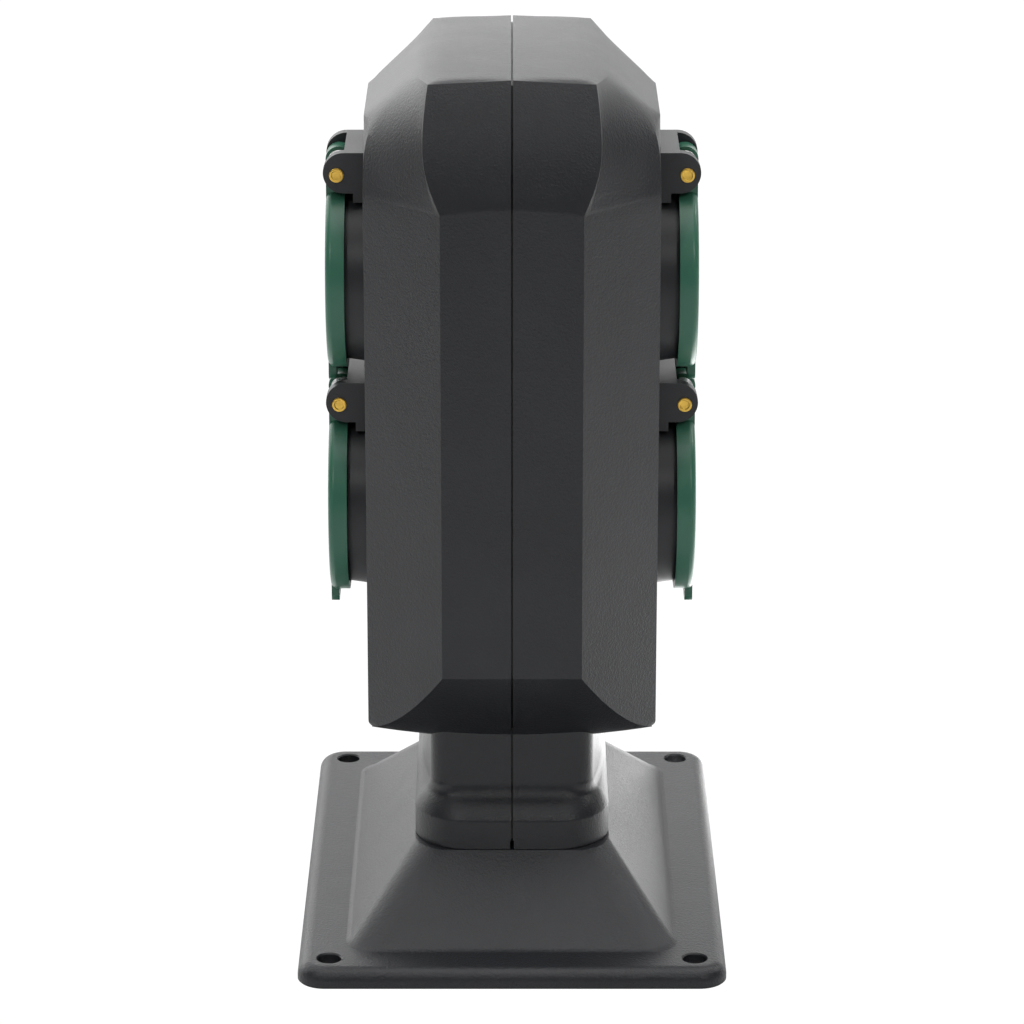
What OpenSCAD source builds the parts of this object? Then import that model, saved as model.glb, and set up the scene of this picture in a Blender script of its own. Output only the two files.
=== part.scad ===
// Garden socket column with four lidded sockets on a screw-down foot.
// Millimetres, +Z up. The origin is the centre of the foot's underside.
// X runs through the thickness of the column, Y along its long side.
// The column is two shells that meet at X = 0.

/* [Foot] */
// Width of the foot plate along X
plate_w = 108; // [100:1:120]
// Length of the foot plate along Y
plate_l = 153; // [146:1:170]
// Thickness of the foot plate
plate_t = 5; // [4:0.5:7]
// Corner radius of the foot plate
plate_corner_r = 7; // [5:0.5:9]
// Rounding of the plate's top edge
plate_edge_r = 3.5; // [2:0.5:3.5]
// Hole spacing along X
hole_dx = 92; // [90:1:96]
// Hole spacing along Y
hole_dy = 137; // [134:1:140]
// Diameter of the fixing holes
hole_d = 6; // [4:0.1:7]
// Width of the pyramid where it meets the plate
pyramid_w = 83; // [70:1:84]
// Length of the pyramid where it meets the plate
pyramid_l = 129; // [110:1:130]
// Height of the pyramid above the plate
pyramid_h = 18.3; // [14:0.1:30]
// Corner radius of the pyramid at the plate
pyramid_corner_r = 8; // [6:0.5:10]
// Wall of the hollow foot
foot_wall = 3; // [2:0.1:4]
// Height of the rim that centres the neck on the foot
rim_h = 3; // [2:0.1:5]
// Wall of that rim
rim_wall = 2; // [1.5:0.1:3]

/* [Neck] */
// Width of the neck along X
neck_w = 47.4; // [44:0.1:50]
// Length of the neck along Y
neck_l = 72; // [66:0.5:76]
// Corner radius of the neck
neck_corner_r = 4.7; // [3:0.1:8]
// Width of the neck's collar on the foot
neck_collar_w = 50; // [50:0.5:56]
// Length of the neck's collar on the foot
neck_collar_l = 84; // [78:0.5:90]
// Corner radius of the neck's collar
neck_collar_r = 12; // [8:0.5:14]
// Height of the collar's straight side
neck_collar_h = 7.7; // [4:0.1:12]
// Height of the rounding above the collar's side
neck_collar_round = 8; // [5:0.1:10]
// Gap between the foot and the lowest point of the column's bottom
neck_gap = 27.7; // [24:0.1:40]

/* [Column] */
// Thickness of the column between its two broad faces
column_t = 73.6; // [73.6:0.1:80]
// Length of the column along Y
column_l = 102.6; // [100:0.1:110]
// Height of the column's broad faces
face_h = 156.9; // [156:0.1:170]
// Length of the broad faces along Y
face_l = 64; // [62:0.5:68]
// Width of the narrow front and back bands
band_w = 35; // [30:0.5:38]
// Height of the top above the broad faces
top_rise = 13.3; // [10:0.1:16]
// Length of the top along Y
top_l = 77.2; // [70:0.1:80]
// Width of the top in the middle
top_w = 50; // [46:0.1:52]
// Crown of the top in the middle
top_crown = 0.7; // [0:0.1:1.5]
// Depth of the bottom below the broad faces
bottom_drop = 2.5; // [0:0.1:4]
// Height of the rounding from the band to the bottom
belly_h = 20; // [15:0.1:24]
// Wall of the shells
shell_wall = 2.8; // [2.5:0.1:3.2]
// Gap of the seam between the shells
seam_gap = 0.3; // [0.1:0.05:0.6]
// Depth of the lip inside the seam
lip_depth = 3; // [2:0.1:5]
// Wall of the lip inside the seam
lip_wall = 1.4; // [1:0.1:2]

/* [Sockets] */
// Distance between the centres of the upper and lower socket
socket_pitch = 60; // [60:0.5:66]
// Distance from the top of the broad face to the upper socket's centre
socket_top_gap = 44.7; // [43:0.1:48]
// Inside diameter of the well
well_d = 38.8; // [38:0.1:40]
// Depth of the well
well_depth = 16.2; // [15:0.1:17]
// Wall of the well
well_wall = 1.3; // [1:0.1:1.5]
// Thickness of the well's floor
floor_t = 2; // [1.6:0.1:2.4]
// Distance between the two pin holes
pin_pitch = 19; // [19:0.1:19.2]
// Diameter of the pin holes
pin_hole_d = 5.5; // [5.2:0.1:5.6]
// Outer diameter of the frame's collar at the shell
collar_d = 46.2; // [45.6:0.1:47]
// Draft of the collar on the radius
collar_draft = 0.7; // [0.2:0.1:0.8]
// Height of the collar up to the lid's rim
collar_h = 5.2; // [5:0.1:6]
// Height of the sealing lip above the collar
seal_lip_h = 1; // [0.6:0.1:1.2]
// Thickness of the insert's fixing plate
fix_plate_t = 2.5; // [2:0.1:3]
// Side of the insert's square fixing plate
fix_plate_w = 50; // [48:0.5:54]
// Spacing of the insert's screws
fix_pitch = 41; // [40:0.5:42]
// Height of the screw posts inside the shell
fix_post_h = 5.2; // [4:0.1:6]
// Radius of the screw posts
fix_post_r = 3.2; // [2.6:0.1:3.4]
// Outer diameter of the contact chamber
chamber_d = 32.4; // [31:0.1:32.4]
// Wall of the contact chamber
chamber_wall = 1.8; // [1.4:0.1:2]
// Depth of the contact chamber behind the floor
chamber_h = 18; // [16:0.1:18]
// Thickness of the contact cover
cover_t = 2; // [1.6:0.1:2.2]

/* [Shutters] */
// Thickness of the shutter
shutter_t = 1.6; // [1.2:0.1:2]
// Radius of the shutter's two ends
shutter_end_r = 3.3; // [3:0.1:3.5]
// Width of the shutter's bar
shutter_bar_w = 5.6; // [5:0.1:6]
// Radius of the post that the shutter turns on
post_r = 2; // [1.6:0.1:2.2]

/* [Lids] */
// Outer diameter of the lid
lid_d = 49.2; // [48.6:0.1:50]
// Depth of the lid from its rim to its face
lid_h = 4.8; // [4.4:0.1:5.4]
// Thickness of the lid's face
lid_t = 2; // [1.6:0.1:2.2]
// Wall of the lid's rim
lid_rim_t = 1.7; // [1.4:0.1:1.8]
// Rounding of the lid's edge
lid_edge_r = 1.6; // [1:0.1:1.8]
// Width of the finger tab
tab_w = 16; // [12:0.5:20]
// Distance from the lid's centre to the tab's end
tab_reach = 27; // [26:0.1:27.4]
// Thickness of the finger tab
tab_t = 2; // [1.6:0.1:2.2]
// Width of the seal ring in the lid
seal_w = 2.2; // [1.6:0.1:2.4]

/* [Hinges] */
// Height of the hinge axis above the socket's centre
hinge_rise = 28; // [28:0.1:28.5]
// Distance of the hinge axis from the broad face
hinge_out = 7.2; // [7:0.1:7.4]
// Length of the hinge bracket along Y
bracket_l = 25.5; // [24:0.5:28]
// Thickness of each ear
ear_t = 3.2; // [2.6:0.1:3.6]
// Radius of the ear's round end
ear_r = 5.2; // [5:0.1:5.4]
// Centre of the ear's round end from the broad face
ear_out = 5.4; // [5.2:0.1:5.6]
// Height of the ear's centre above the hinge axis
ear_rise = 0.5; // [0.3:0.1:0.6]
// Thickness of the bracket's back between the ears
bracket_t = 3.1; // [2.6:0.1:3.3]
// Radius of the lid's knuckles
knuckle_r = 3.4; // [3.2:0.1:3.5]
// Length of each of the lid's two knuckles
knuckle_l = 5.3; // [4:0.1:5.6]
// Radius of the hinge pin
pin_r = 1.5; // [1.3:0.05:1.6]
// Radius of the hinge pin's heads
pin_head_r = 1.85; // [1.7:0.05:2.1]
// Thickness of the hinge pin's heads
pin_head_t = 0.4; // [0.2:0.1:0.6]

/* [Lid springs] */
// Diameter of the spring wire
wire_d = 0.8; // [0.6:0.05:0.8]
// Whole turns of the spring
spring_turns = 4; // [3:1:4]
// Pitch of the spring's turns
spring_pitch = 1.3; // [1.25:0.05:1.35]
// Distance from the pin's surface to the middle of the spring wire
spring_off = 0.85; // [0.7:0.05:0.9]

/* [Wiring] */
// Thickness of the bars
bar_t = 1.2; // [0.8:0.1:1.6]
// Width of the live and neutral bars
bar_w = 6; // [5:0.1:6.5]
// Width of the earth bar
earth_bar_w = 5; // [4:0.1:6]
// Thickness of the contact metal
contact_t = 0.8; // [0.6:0.1:1]
// Diameter of the plug's pins
plug_pin_d = 4.8; // [4.8:0.05:4.9]
// Width of the earth clip
clip_w = 5; // [4:0.1:6]
// Size of the terminal block along X
block_w = 18; // [16:0.5:20]
// Size of the terminal block along Y
block_l = 34; // [33:0.5:38]
// Height of the terminal block
block_h = 14; // [12:0.5:16]
// Depth of the bars in the terminal block
bar_seat = 6; // [5:0.1:7]
// Radius of the wire holes in the terminal block
wire_hole_r = 2.1; // [1.6:0.1:2.2]

/* [Cable gland] */
// Outer radius of the gland's thread
gland_r = 10; // [9:0.1:10.5]
// Bore radius of the gland's seal
gland_bore_r = 4.8; // [3:0.1:5.5]
// Circumscribed radius of the gland's hexagons
gland_hex_r = 13.5; // [13:0.1:14]
// Height of the gland's flange and lock nut
gland_hex_h = 4; // [3:0.1:5]
// Length of the gland's cap
gland_cap_h = 9; // [7:0.1:9.5]
// Wall of the gland's body
gland_wall = 2.4; // [2:0.1:2.8]

/* [Screws] */
// Radius of the shell screws
shell_screw_r = 1.9; // [1.5:0.1:2]
// Length of the shell screws
shell_screw_l = 38; // [30:1:44]
// Radius of the shell screws' heads
shell_head_r = 3.5; // [3:0.1:3.8]
// Radius of the bosses of the shell screws
boss_r = 4.8; // [4.4:0.1:5]
// Depth of the shell screws' recess
recess_h = 15; // [10:0.5:20]
// Spacing of the shell screws along Y
shell_screw_dy = 50; // [48:0.5:51]
// Radius of the small screws
small_screw_r = 1.3; // [1:0.1:1.4]
// Radius of the small screws' heads
small_head_r = 2.4; // [2:0.1:2.6]
// Spacing of the foot screws along X
foot_screw_dx = 24; // [20:1:28]
// Spacing of the foot screws along Y
foot_screw_dy = 54; // [48:1:54]
// Depth of the foot screws in their bosses
foot_screw_grip = 18; // [12:1:20]

/* [Fits] */
// Clearance between pieces that are fixed to each other
fit_gap = 0.1; // [0.05:0.05:0.15]
// Radial clearance of the hinge pins and the shutter's post
run_gap = 0.06; // [0.03:0.01:0.1]
// Clearance between pieces that move past each other
move_gap = 0.3; // [0.3:0.05:0.4]

/* [Hidden] */

$fn = 64;
hull_fn = 32;
speck = 0.01;
overcut = 1;

// Heights of the column
neck_z = plate_t + pyramid_h;
bottom_z = neck_z + neck_gap;
face_z0 = bottom_z + bottom_drop;
face_z1 = face_z0 + face_h;
top_z = face_z1 + top_rise;
half_t = column_t / 2;
half_l = column_l / 2;
inner_x = half_t - shell_wall;

// Shoulder: an arc from the band up to the top, as radius and two slopes
shoulder_a0 = 54;
shoulder_a1 = 81;
shoulder_run = half_l - top_l / 2;
shoulder_r = shoulder_run / (sin(shoulder_a1) - sin(shoulder_a0));
band_z1 = top_z - shoulder_r * (cos(shoulder_a0) - cos(shoulder_a1));
band_z0 = bottom_z + belly_h + bottom_drop;
// Sum of X and Y on the slanted sides between the bands and the broad faces
bevel_sum = half_l + band_w / 2;
shoulder_w = top_w * 0.43;
shoulder_steps = 9;
belly_steps = 8;
belly_tuck = 12;
belly_power = 1.3;
top_steps = 5;
belly_run = half_l - face_l / 2;

// Sockets
upper_z = face_z1 - socket_top_gap;
lower_z = upper_z - socket_pitch;
rim_u = collar_h + seal_lip_h;
floor_u = rim_u - well_depth;
chamber_u0 = floor_u - floor_t;
chamber_u1 = chamber_u0 - chamber_h;
cover_u1 = chamber_u1 - cover_t;
well_r = well_d / 2;
cup_r = well_r + well_wall;
bore_r = cup_r + fit_gap;
hole_r = bore_r + 1;
plate_u1 = -shell_wall - fix_post_h;
plate_u0 = plate_u1 - fix_plate_t;
chamber_r = chamber_d / 2;
clip_u = cover_u1 - contact_t;
fix_screw_grip = fix_post_h - 1;
fix_plate_r = 5;
fix_head_t = 1.4;
pin_y = pin_pitch / 2;

// Lids
lid_face_u = collar_h + lid_h;
lid_inner_u = lid_face_u - lid_t;
lid_r = lid_d / 2;
ear_inner = bracket_l / 2 - ear_t;
knuckle_y1 = ear_inner - move_gap;
knuckle_y0 = knuckle_y1 - knuckle_l;
spring_r = pin_r + spring_off;
web_z0 = well_r + 0.6;
web_top = hinge_rise - knuckle_r;
seal_u0 = rim_u + move_gap;
seal_r = lid_r - lid_rim_t - fit_gap;

// Spring path: a leg to the bracket, the turns, a leg to the lid
ring_n = 8;
wire_sides = 6;
spring_turn_total = spring_turns + 0.25;
spring_len = spring_turn_total * spring_pitch;
leg_back = hinge_out - bracket_t;
leg_down = hinge_rise - web_top;
spring_rings = round(spring_turn_total * ring_n);

// Wiring
bar_half = bar_t / 2;
block_rise = 4.5;
block_z0 = face_z0 + block_rise;
bar_over = 6;
block_z1 = block_z0 + block_h;
tail_h = 5;

// Foot screws
foot_head_r = 3.4;
foot_head_t = 2.2;
foot_pilot_r = 1.7;
foot_boss_wall = 2.3;
rib_t = 2;
roof_z = neck_z - foot_wall;

// Outline of the column as [y, z, half width in X], from the bottom to the top
function shoulder_width(t) = min(shoulder_w, bevel_sum - shoulder_y(t));
function shoulder_angle(t) = shoulder_a1 + t * (shoulder_a0 - shoulder_a1);
function shoulder_y(t) = half_l - shoulder_r * (sin(shoulder_a1) - sin(shoulder_angle(t)));
function shoulder_z(t) = band_z1 + shoulder_r * (cos(shoulder_angle(t)) - cos(shoulder_a1));
outline = concat(
  [[0, bottom_z, half_t - belly_tuck]],
  [for (i = [0:belly_steps]) let (a = 90 * i / belly_steps)
    [face_l / 2 + belly_run * sin(a), face_z0 + (band_z0 - face_z0) * (1 - cos(a)),
     half_t - (half_t - band_w / 2) * pow(sin(a), belly_power)]],
  [for (i = [0:shoulder_steps]) let (t = i / shoulder_steps)
    [shoulder_y(t), shoulder_z(t), shoulder_width(t)]],
  [for (i = [top_steps - 1:-1:0]) let (t = i / top_steps)
    [t * top_l / 2, top_z + top_crown * (1 - t * t), top_w / 2 - (top_w / 2 - shoulder_w) * t * t]]
);

// Rounded rectangle in exact arcs
module round_rect(w, l, r) {
  square([w - 2 * r, l], center = true);
  square([w, l - 2 * r], center = true);
  for (x = [-1, 1]) for (y = [-1, 1]) translate([x * (w / 2 - r), y * (l / 2 - r)]) circle(r);
}

module round_slab(w, l, r, z, h) {
  translate([0, 0, z]) linear_extrude(h) round_rect(w, l, r);
}

// Cylinder along X from u0 to u1
module disc_u(r, u0, u1) {
  translate([u0, 0, 0]) rotate([0, 90, 0]) cylinder(r = r, h = u1 - u0);
}

module ring_u(r1, r0, u0, u1) {
  difference() {
    disc_u(r1, u0, u1);
    disc_u(r0, u0 - overcut, u1 + overcut);
  }
}

// Box between two corners
module span(a, b) {
  translate(a) cube(b - a);
}

// Places a socket piece: side 1 is right and -1 left, X points out of the broad face
module at_socket(side, z) {
  translate([0, 0, z]) rotate([0, 0, side > 0 ? 0 : 180]) translate([half_t, 0, 0]) children();
}

// Solid column, drawn in by g on all sides
module column_solid(g) {
  hull() {
    for (p = outline) for (s = [-1, 1]) {
      z = min(max(p[1], bottom_z + g), top_z + top_crown - g);
      x = min(p[2] - g * 0.6, half_t - g);
      translate([-x, s * max(p[0] - g, 0), z]) cube([2 * x, speck, speck]);
    }
    translate([-half_t + g, -face_l / 2 + g / 2, face_z0 + g])
      cube([column_t - 2 * g, face_l - g, face_h - 1.4 * g]);
  }
}

// Solid collar of the neck, drawn in by g
module neck_collar_solid(g) {
  drop = (neck_collar_w - neck_w) / 2;
  run = (neck_collar_l - neck_l) / 2;
  hull() {
    for (a = [0:15:90]) {
      w = neck_collar_w - 2 * drop * (1 - cos(a)) - 2 * g;
      l = neck_collar_l - 2 * run * (1 - cos(a)) - 2 * g;
      r = neck_collar_r + (neck_corner_r - neck_collar_r) * (1 - cos(a)) - g;
      z = neck_z + neck_collar_h + neck_collar_round * sin(a);
      translate([0, 0, a == 0 ? neck_z : z]) linear_extrude(a == 0 ? neck_collar_h : speck)
        round_rect(w, l, max(r, 1), $fn = hull_fn);
    }
  }
}

// Everything on one side of the seam
module half_space(side, gap) {
  size = 2 * top_z;
  translate([side > 0 ? gap : -gap - size, -size / 2, -size / 2]) cube([size, size, 2 * size]);
}

module shell_screw_places() {
  for (y = [-1, 1]) for (z = shell_screw_z) translate([0, y * shell_screw_dy / 2, z]) children();
}
shell_screw_z = [lower_z - socket_pitch * 0.66, (upper_z + lower_z) / 2, upper_z + socket_pitch * 0.575];

module foot_screw_places() {
  for (x = [-1, 1]) for (y = [-1, 1])
    translate([x * foot_screw_dx / 2, y * foot_screw_dy / 2, 0]) children();
}

module fix_places() {
  for (y = [-1, 1]) for (z = [-1, 1]) translate([0, y * fix_pitch / 2, z * fix_pitch / 2]) children();
}

module block_screw_places() {
  for (y = [-1, 1]) translate([0, y * block_post_y, (block_z0 + block_z1) / 2]) children();
}
block_post_y = (pin_y + 3) / 2 - 1.4;
block_post_r = 3;
block_screw_grip = 6;

// Hollow that follows the outside, down through the neck
module hollow() {
  column_solid(shell_wall);
  neck_collar_solid(shell_wall);
  round_slab(neck_in_w, neck_in_l, inner_corner_r, neck_z - overcut, bottom_z - neck_z + 2 * shell_wall);
}
inner_corner_r = 2;
neck_in_w = neck_w - 2 * shell_wall;
neck_in_l = neck_l - 2 * shell_wall;
lip_g = shell_wall + fit_gap;
lip_z0 = neck_z + rim_h + 1;

// Space inside the lip
module lip_hollow() {
  column_solid(lip_g + lip_wall);
  round_slab(neck_in_w + 2, neck_in_l - 2 * fit_gap - 2 * lip_wall, 1, neck_z, bottom_z - neck_z + 8);
}

// Slice beside the seam that the lip lies in, from the foot's rim up
module lip_slab(x0, x1) {
  span([x0, -column_l, lip_z0], [x1, column_l, 2 * top_z]);
}

// One shell: skin, neck, bosses, socket holes and posts
module shell(side) {
  difference() {
    intersection() {
      union() {
        difference() {
          union() {
            column_solid(0);
            neck_collar_solid(0);
            round_slab(neck_w, neck_l, neck_corner_r, neck_z, face_z0 - neck_z + 2 * overcut);
          }
          if (side > 0) hollow();
          if (side < 0) {
            difference() {
              hollow();
              lip_slab(-lip_depth, 0);
            }
            intersection() {
              lip_hollow();
              lip_slab(-lip_depth, 0);
            }
          }
        }
        shell_screw_places() disc_u(boss_r, side > 0 ? 0 : -inner_x - 1, side > 0 ? inner_x + 1 : 0);
        for (z = [upper_z, lower_z]) at_socket(side, z) fix_places()
          disc_u(fix_post_r, plate_u1, 1 - shell_wall);
        if (side < 0) block_posts();
        foot_bosses();
      }
      half_space(side, seam_gap / 2);
    }
    for (z = [upper_z, lower_z]) at_socket(side, z) {
      disc_u(hole_r, -shell_wall - overcut, overcut);
      fix_places() disc_u(small_screw_r + fit_gap, plate_u1 - overcut, plate_u1 + fix_screw_grip + 0.5);
    }
    if (side > 0) shell_screw_places() {
      disc_u(shell_screw_r + fit_gap, -overcut, half_t);
      disc_u(shell_head_r + fit_gap, half_t - recess_h, half_t + overcut);
    }
    if (side < 0) {
      shell_screw_places() disc_u(shell_screw_r + fit_gap, -screw_tip - 1, overcut);
      block_screw_places() disc_u(small_screw_r + fit_gap, -block_w / 2 - block_screw_grip - 1, 0);
    }
    foot_screw_places() translate([0, 0, neck_z - overcut])
      cylinder(r = foot_pilot_r + fit_gap, h = foot_screw_grip + 2);
  }
}
screw_tip = shell_screw_l - (half_t - recess_h);

// Bosses in the neck that take the foot screws, tied to the neck's ends
module foot_bosses() {
  boss_z1 = neck_z + foot_screw_grip + 4;
  foot_screw_places() translate([0, 0, neck_z]) cylinder(r = foot_pilot_r + foot_boss_wall,
    h = boss_z1 - neck_z);
  for (x = [-1, 1]) for (y = [-1, 1]) {
    y0 = foot_screw_dy / 2 + foot_pilot_r + 1;
    y1 = neck_l / 2 - shell_wall / 2;
    translate([x * foot_screw_dx / 2 - rib_t / 2, y > 0 ? y0 : -y1, neck_z + rim_h + 1])
      cube([rib_t, y1 - y0, boss_z1 - neck_z - rim_h - 1]);
  }
}

// Posts in the left shell that carry the terminal block
module block_posts() {
  block_screw_places() disc_u(block_post_r, -inner_x - 1, -block_w / 2);
}

// The left shell has a lip that closes the seam from inside, in the column and in the neck
module shell_left() {
  color([0.2, 0.2, 0.21]) {
    shell(-1);
    intersection() {
      difference() {
        union() {
          column_solid(lip_g);
          round_slab(neck_in_w, neck_in_l - 2 * fit_gap, inner_corner_r, lip_z0, bottom_z - lip_z0 + 4);
        }
        lip_hollow();
      }
      lip_slab(-seam_gap, lip_depth);
    }
  }
}

module shell_right() {
  color([0.2, 0.2, 0.21]) shell(1);
}

module foot() {
  color([0.22, 0.22, 0.23]) difference() {
    union() {
      hull() {
        round_slab(plate_w, plate_l, plate_corner_r, 0, plate_t - plate_edge_r, $fn = hull_fn);
        for (a = [15:15:90]) {
          inset = plate_edge_r * (1 - cos(a));
          round_slab(plate_w - 2 * inset, plate_l - 2 * inset, plate_corner_r - inset,
            plate_t - plate_edge_r + plate_edge_r * sin(a) - speck, speck, $fn = hull_fn);
        }
      }
      hull() {
        round_slab(pyramid_w, pyramid_l, pyramid_corner_r, plate_t - 1, 1, $fn = hull_fn);
        round_slab(neck_collar_w, neck_collar_l, neck_collar_r, neck_z - speck, speck, $fn = hull_fn);
      }
      difference() {
        round_slab(rim_w, rim_l, inner_corner_r, neck_z - overcut, rim_h + overcut);
        round_slab(rim_w - 2 * rim_wall, rim_l - 2 * rim_wall, inner_corner_r / 2,
          neck_z - 2 * overcut, rim_h + 4 * overcut);
      }
    }
    hull() {
      round_slab(pyramid_w - 2 * foot_wall, pyramid_l - 2 * foot_wall, pyramid_corner_r - foot_wall,
        -overcut, plate_t, $fn = hull_fn);
      round_slab(neck_collar_w - 2 * foot_wall, neck_collar_l - 2 * foot_wall,
        neck_collar_r - foot_wall, roof_z - speck, speck, $fn = hull_fn);
    }
    for (x = [-1, 1]) for (y = [-1, 1])
      translate([x * hole_dx / 2, y * hole_dy / 2, -overcut]) cylinder(d = hole_d,
        h = plate_t + 2 * overcut);
    translate([0, 0, roof_z - overcut]) cylinder(r = gland_r + fit_gap, h = foot_wall + 2 * overcut);
    foot_screw_places() translate([0, 0, roof_z - overcut])
      cylinder(r = foot_pilot_r + fit_gap, h = foot_wall + 2 * overcut);
  }
}
rim_w = neck_w - 2 * shell_wall - 2 * fit_gap;
rim_l = neck_l - 2 * shell_wall - 2 * fit_gap;

module shell_screws() {
  head_t = 2.6;
  seat = half_t - recess_h;
  color("silver") shell_screw_places() difference() {
    union() {
      disc_u(shell_screw_r, -screw_tip, seat);
      disc_u(shell_head_r, seat, seat + head_t);
    }
    cross_slot(seat + head_t - slot_h, seat + head_t + overcut, shell_head_r);
  }
}

slot_w = 1;
slot_share = 0.6;
slot_h = 1.2;

// Cross slot along X for a screw head
module cross_slot(u0, u1, r) {
  for (a = [0, 90]) rotate([a, 0, 0]) span([u0, -slot_w / 2, -r * slot_share], [u1, slot_w / 2,
    r * slot_share]);
}

module foot_screws() {
  color("silver") foot_screw_places() difference() {
    union() {
      translate([0, 0, roof_z]) cylinder(r = foot_pilot_r, h = foot_wall + foot_screw_grip);
      translate([0, 0, roof_z - foot_head_t]) cylinder(r = foot_head_r, h = foot_head_t);
    }
    translate([0, 0, roof_z - foot_head_t]) rotate([0, -90, 0]) cross_slot(-overcut, 1.1, foot_head_r);
  }
}

// Black collar with the hinge bracket, in one piece
module frame(side, z) {
  color([0.13, 0.13, 0.14]) at_socket(side, z) difference() {
    union() {
      rotate([0, 90, 0]) rotate_extrude() polygon([
        [0, -shell_wall], [hole_r - fit_gap, -shell_wall], [hole_r - fit_gap, 0], [collar_d / 2, 0],
        [collar_d / 2 - collar_draft, collar_h], [bore_r + 1.2, collar_h], [bore_r + 1, rim_u],
        [0, rim_u]]);
      span([0, -bracket_l / 2, collar_d / 2 - 2.2], [bracket_t, bracket_l / 2, ear_top]);
      for (y = [-1, 1]) translate([0, y * (bracket_l - ear_t) / 2, hinge_rise + ear_rise])
        rotate([90, 0, 0]) linear_extrude(ear_t, center = true) {
          translate([0, -ear_r]) square([ear_out, 2 * ear_r]);
          translate([ear_out, 0]) circle(ear_r);
        }
    }
    disc_u(bore_r, -shell_wall - overcut, rim_u + overcut);
    translate([hinge_out, 0, hinge_rise]) rotate([90, 0, 0])
      cylinder(r = pin_r + run_gap, h = bracket_l + 2 * overcut, center = true);
  }
}
ear_top = hinge_rise + ear_rise + ear_r;

// Well for the plug with its fixing plate and contact chamber
module insert(side, z) {
  color([0.16, 0.16, 0.17]) at_socket(side, z) difference() {
    union() {
      disc_u(cup_r, chamber_u0, rim_u);
      disc_u(chamber_r, chamber_u1, chamber_u0 + speck);
      translate([plate_u0, 0, 0]) rotate([90, 0, 90]) linear_extrude(fix_plate_t)
        round_rect(fix_plate_w, fix_plate_w, fix_plate_r);
      for (y = [-1, 1]) intersection() {
        disc_u(well_r + 0.5, floor_u - 1, rim_u - 1.5);
        span([floor_u - 1, y * (well_r - 0.8) - 1.2, -2.5], [rim_u - 1.5, y * (well_r - 0.8) + 1.2, 2.5]);
      }
    }
    difference() {
      disc_u(well_r, floor_u, rim_u + overcut);
      for (y = [-1, 1])
        span([floor_u - 1, y * well_r - 1.6, -2.5], [rim_u - 1.5, y * well_r + 1.6, 2.5]);
    }
    disc_u(chamber_r - chamber_wall, chamber_u1 - overcut, chamber_u0);
    for (y = [-1, 1]) translate([0, y * pin_y, 0]) disc_u(pin_hole_d / 2, chamber_u0 - 1, floor_u + 1);
    for (s = [-1, 1]) translate([0, 0, s * clip_z])
      span([chamber_u0 - 4, -clip_w / 2 - fit_gap, -contact_t / 2 - fit_gap],
        [floor_u + overcut, clip_w / 2 + fit_gap, contact_t / 2 + fit_gap]);
    fix_places() disc_u(small_screw_r + fit_gap, plate_u0 - overcut, plate_u1 + overcut);
  }
}
clip_z = chamber_r + fit_gap + contact_t / 2 + 0.2;
clip_foot_u = floor_u + 1;
clip_bend_u = floor_u + 8;
clip_end_u = floor_u + 13;
clip_dip = 1.3;

// Back of the contact chamber, with the post that the shutter turns on
module contact_cover(side, z) {
  color([0.75, 0.73, 0.68]) at_socket(side, z) difference() {
    union() {
      disc_u(chamber_r, cover_u1, chamber_u1);
      disc_u(chamber_r - chamber_wall - fit_gap, chamber_u1 - speck, chamber_u1 + 1.5);
      disc_u(post_r + 1.2, chamber_u1, shutter_u0 - move_gap);
      disc_u(post_r, chamber_u1, chamber_u0 - fit_gap);
    }
    for (y = [-1, 1]) translate([0, y * pin_y, 0]) {
      span([chamber_u1, -contact_half_y - fit_gap, -contact_half_z - fit_gap],
        [chamber_u1 + 2, contact_half_y + fit_gap, contact_half_z + fit_gap]);
      span([cover_u1 - overcut, -tail_w / 2 - fit_gap, -tail_h / 2 - fit_gap],
        [chamber_u1 + overcut, tail_w / 2 + fit_gap, tail_h / 2 + fit_gap]);
    }
  }
}
contact_half_y = 3;
contact_half_z = plug_pin_d / 2 - 0.2 + contact_t;
tail_w = 1.6;
shutter_u1 = chamber_u0 - move_gap;
shutter_u0 = shutter_u1 - shutter_t;

// Two spring forks, one behind each pin hole, with tails to the bars
module pin_contacts(side, z) {
  leaf_u = shutter_u0 - 1.2;
  color([0.8, 0.6, 0.3]) at_socket(side, z) for (y = [-1, 1]) translate([0, y * pin_y, 0]) {
    span([chamber_u1, -contact_half_y, -contact_half_z],
      [chamber_u1 + contact_t, contact_half_y, contact_half_z]);
    for (s = [-1, 1]) {
      z0 = s > 0 ? contact_half_z - contact_t : -contact_half_z;
      span([chamber_u1, -contact_half_y, z0], [leaf_u, contact_half_y, z0 + contact_t]);
    }
    span([bar_half - half_t, -tail_w / 2, -tail_h / 2], [chamber_u1 + speck, tail_w / 2, tail_h / 2]);
  }
}

// Earth strap behind the cover with two arms that reach into the well
module earth_clip(side, z) {
  arm_in = well_r - clip_z - clip_dip;
  color([0.82, 0.66, 0.36]) at_socket(side, z) {
    rotate([90, 0, 0]) linear_extrude(clip_w, center = true) for (s = [-1, 1]) scale([1, s])
      polygon([
        [clip_u, 0], [cover_u1, 0], [cover_u1, clip_z - contact_t / 2],
        [clip_foot_u, clip_z - contact_t / 2], [clip_bend_u, clip_z - contact_t / 2 - clip_dip],
        [clip_end_u, clip_z - contact_t / 2 + arm_in], [clip_end_u, clip_z + contact_t / 2 + arm_in],
        [clip_bend_u, clip_z + contact_t / 2 - clip_dip], [clip_foot_u, clip_z + contact_t / 2],
        [clip_u, clip_z + contact_t / 2]]);
    span([bar_half - half_t, -clip_w / 2, -tail_h / 2], [clip_u + speck, clip_w / 2, tail_h / 2]);
  }
}

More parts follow.
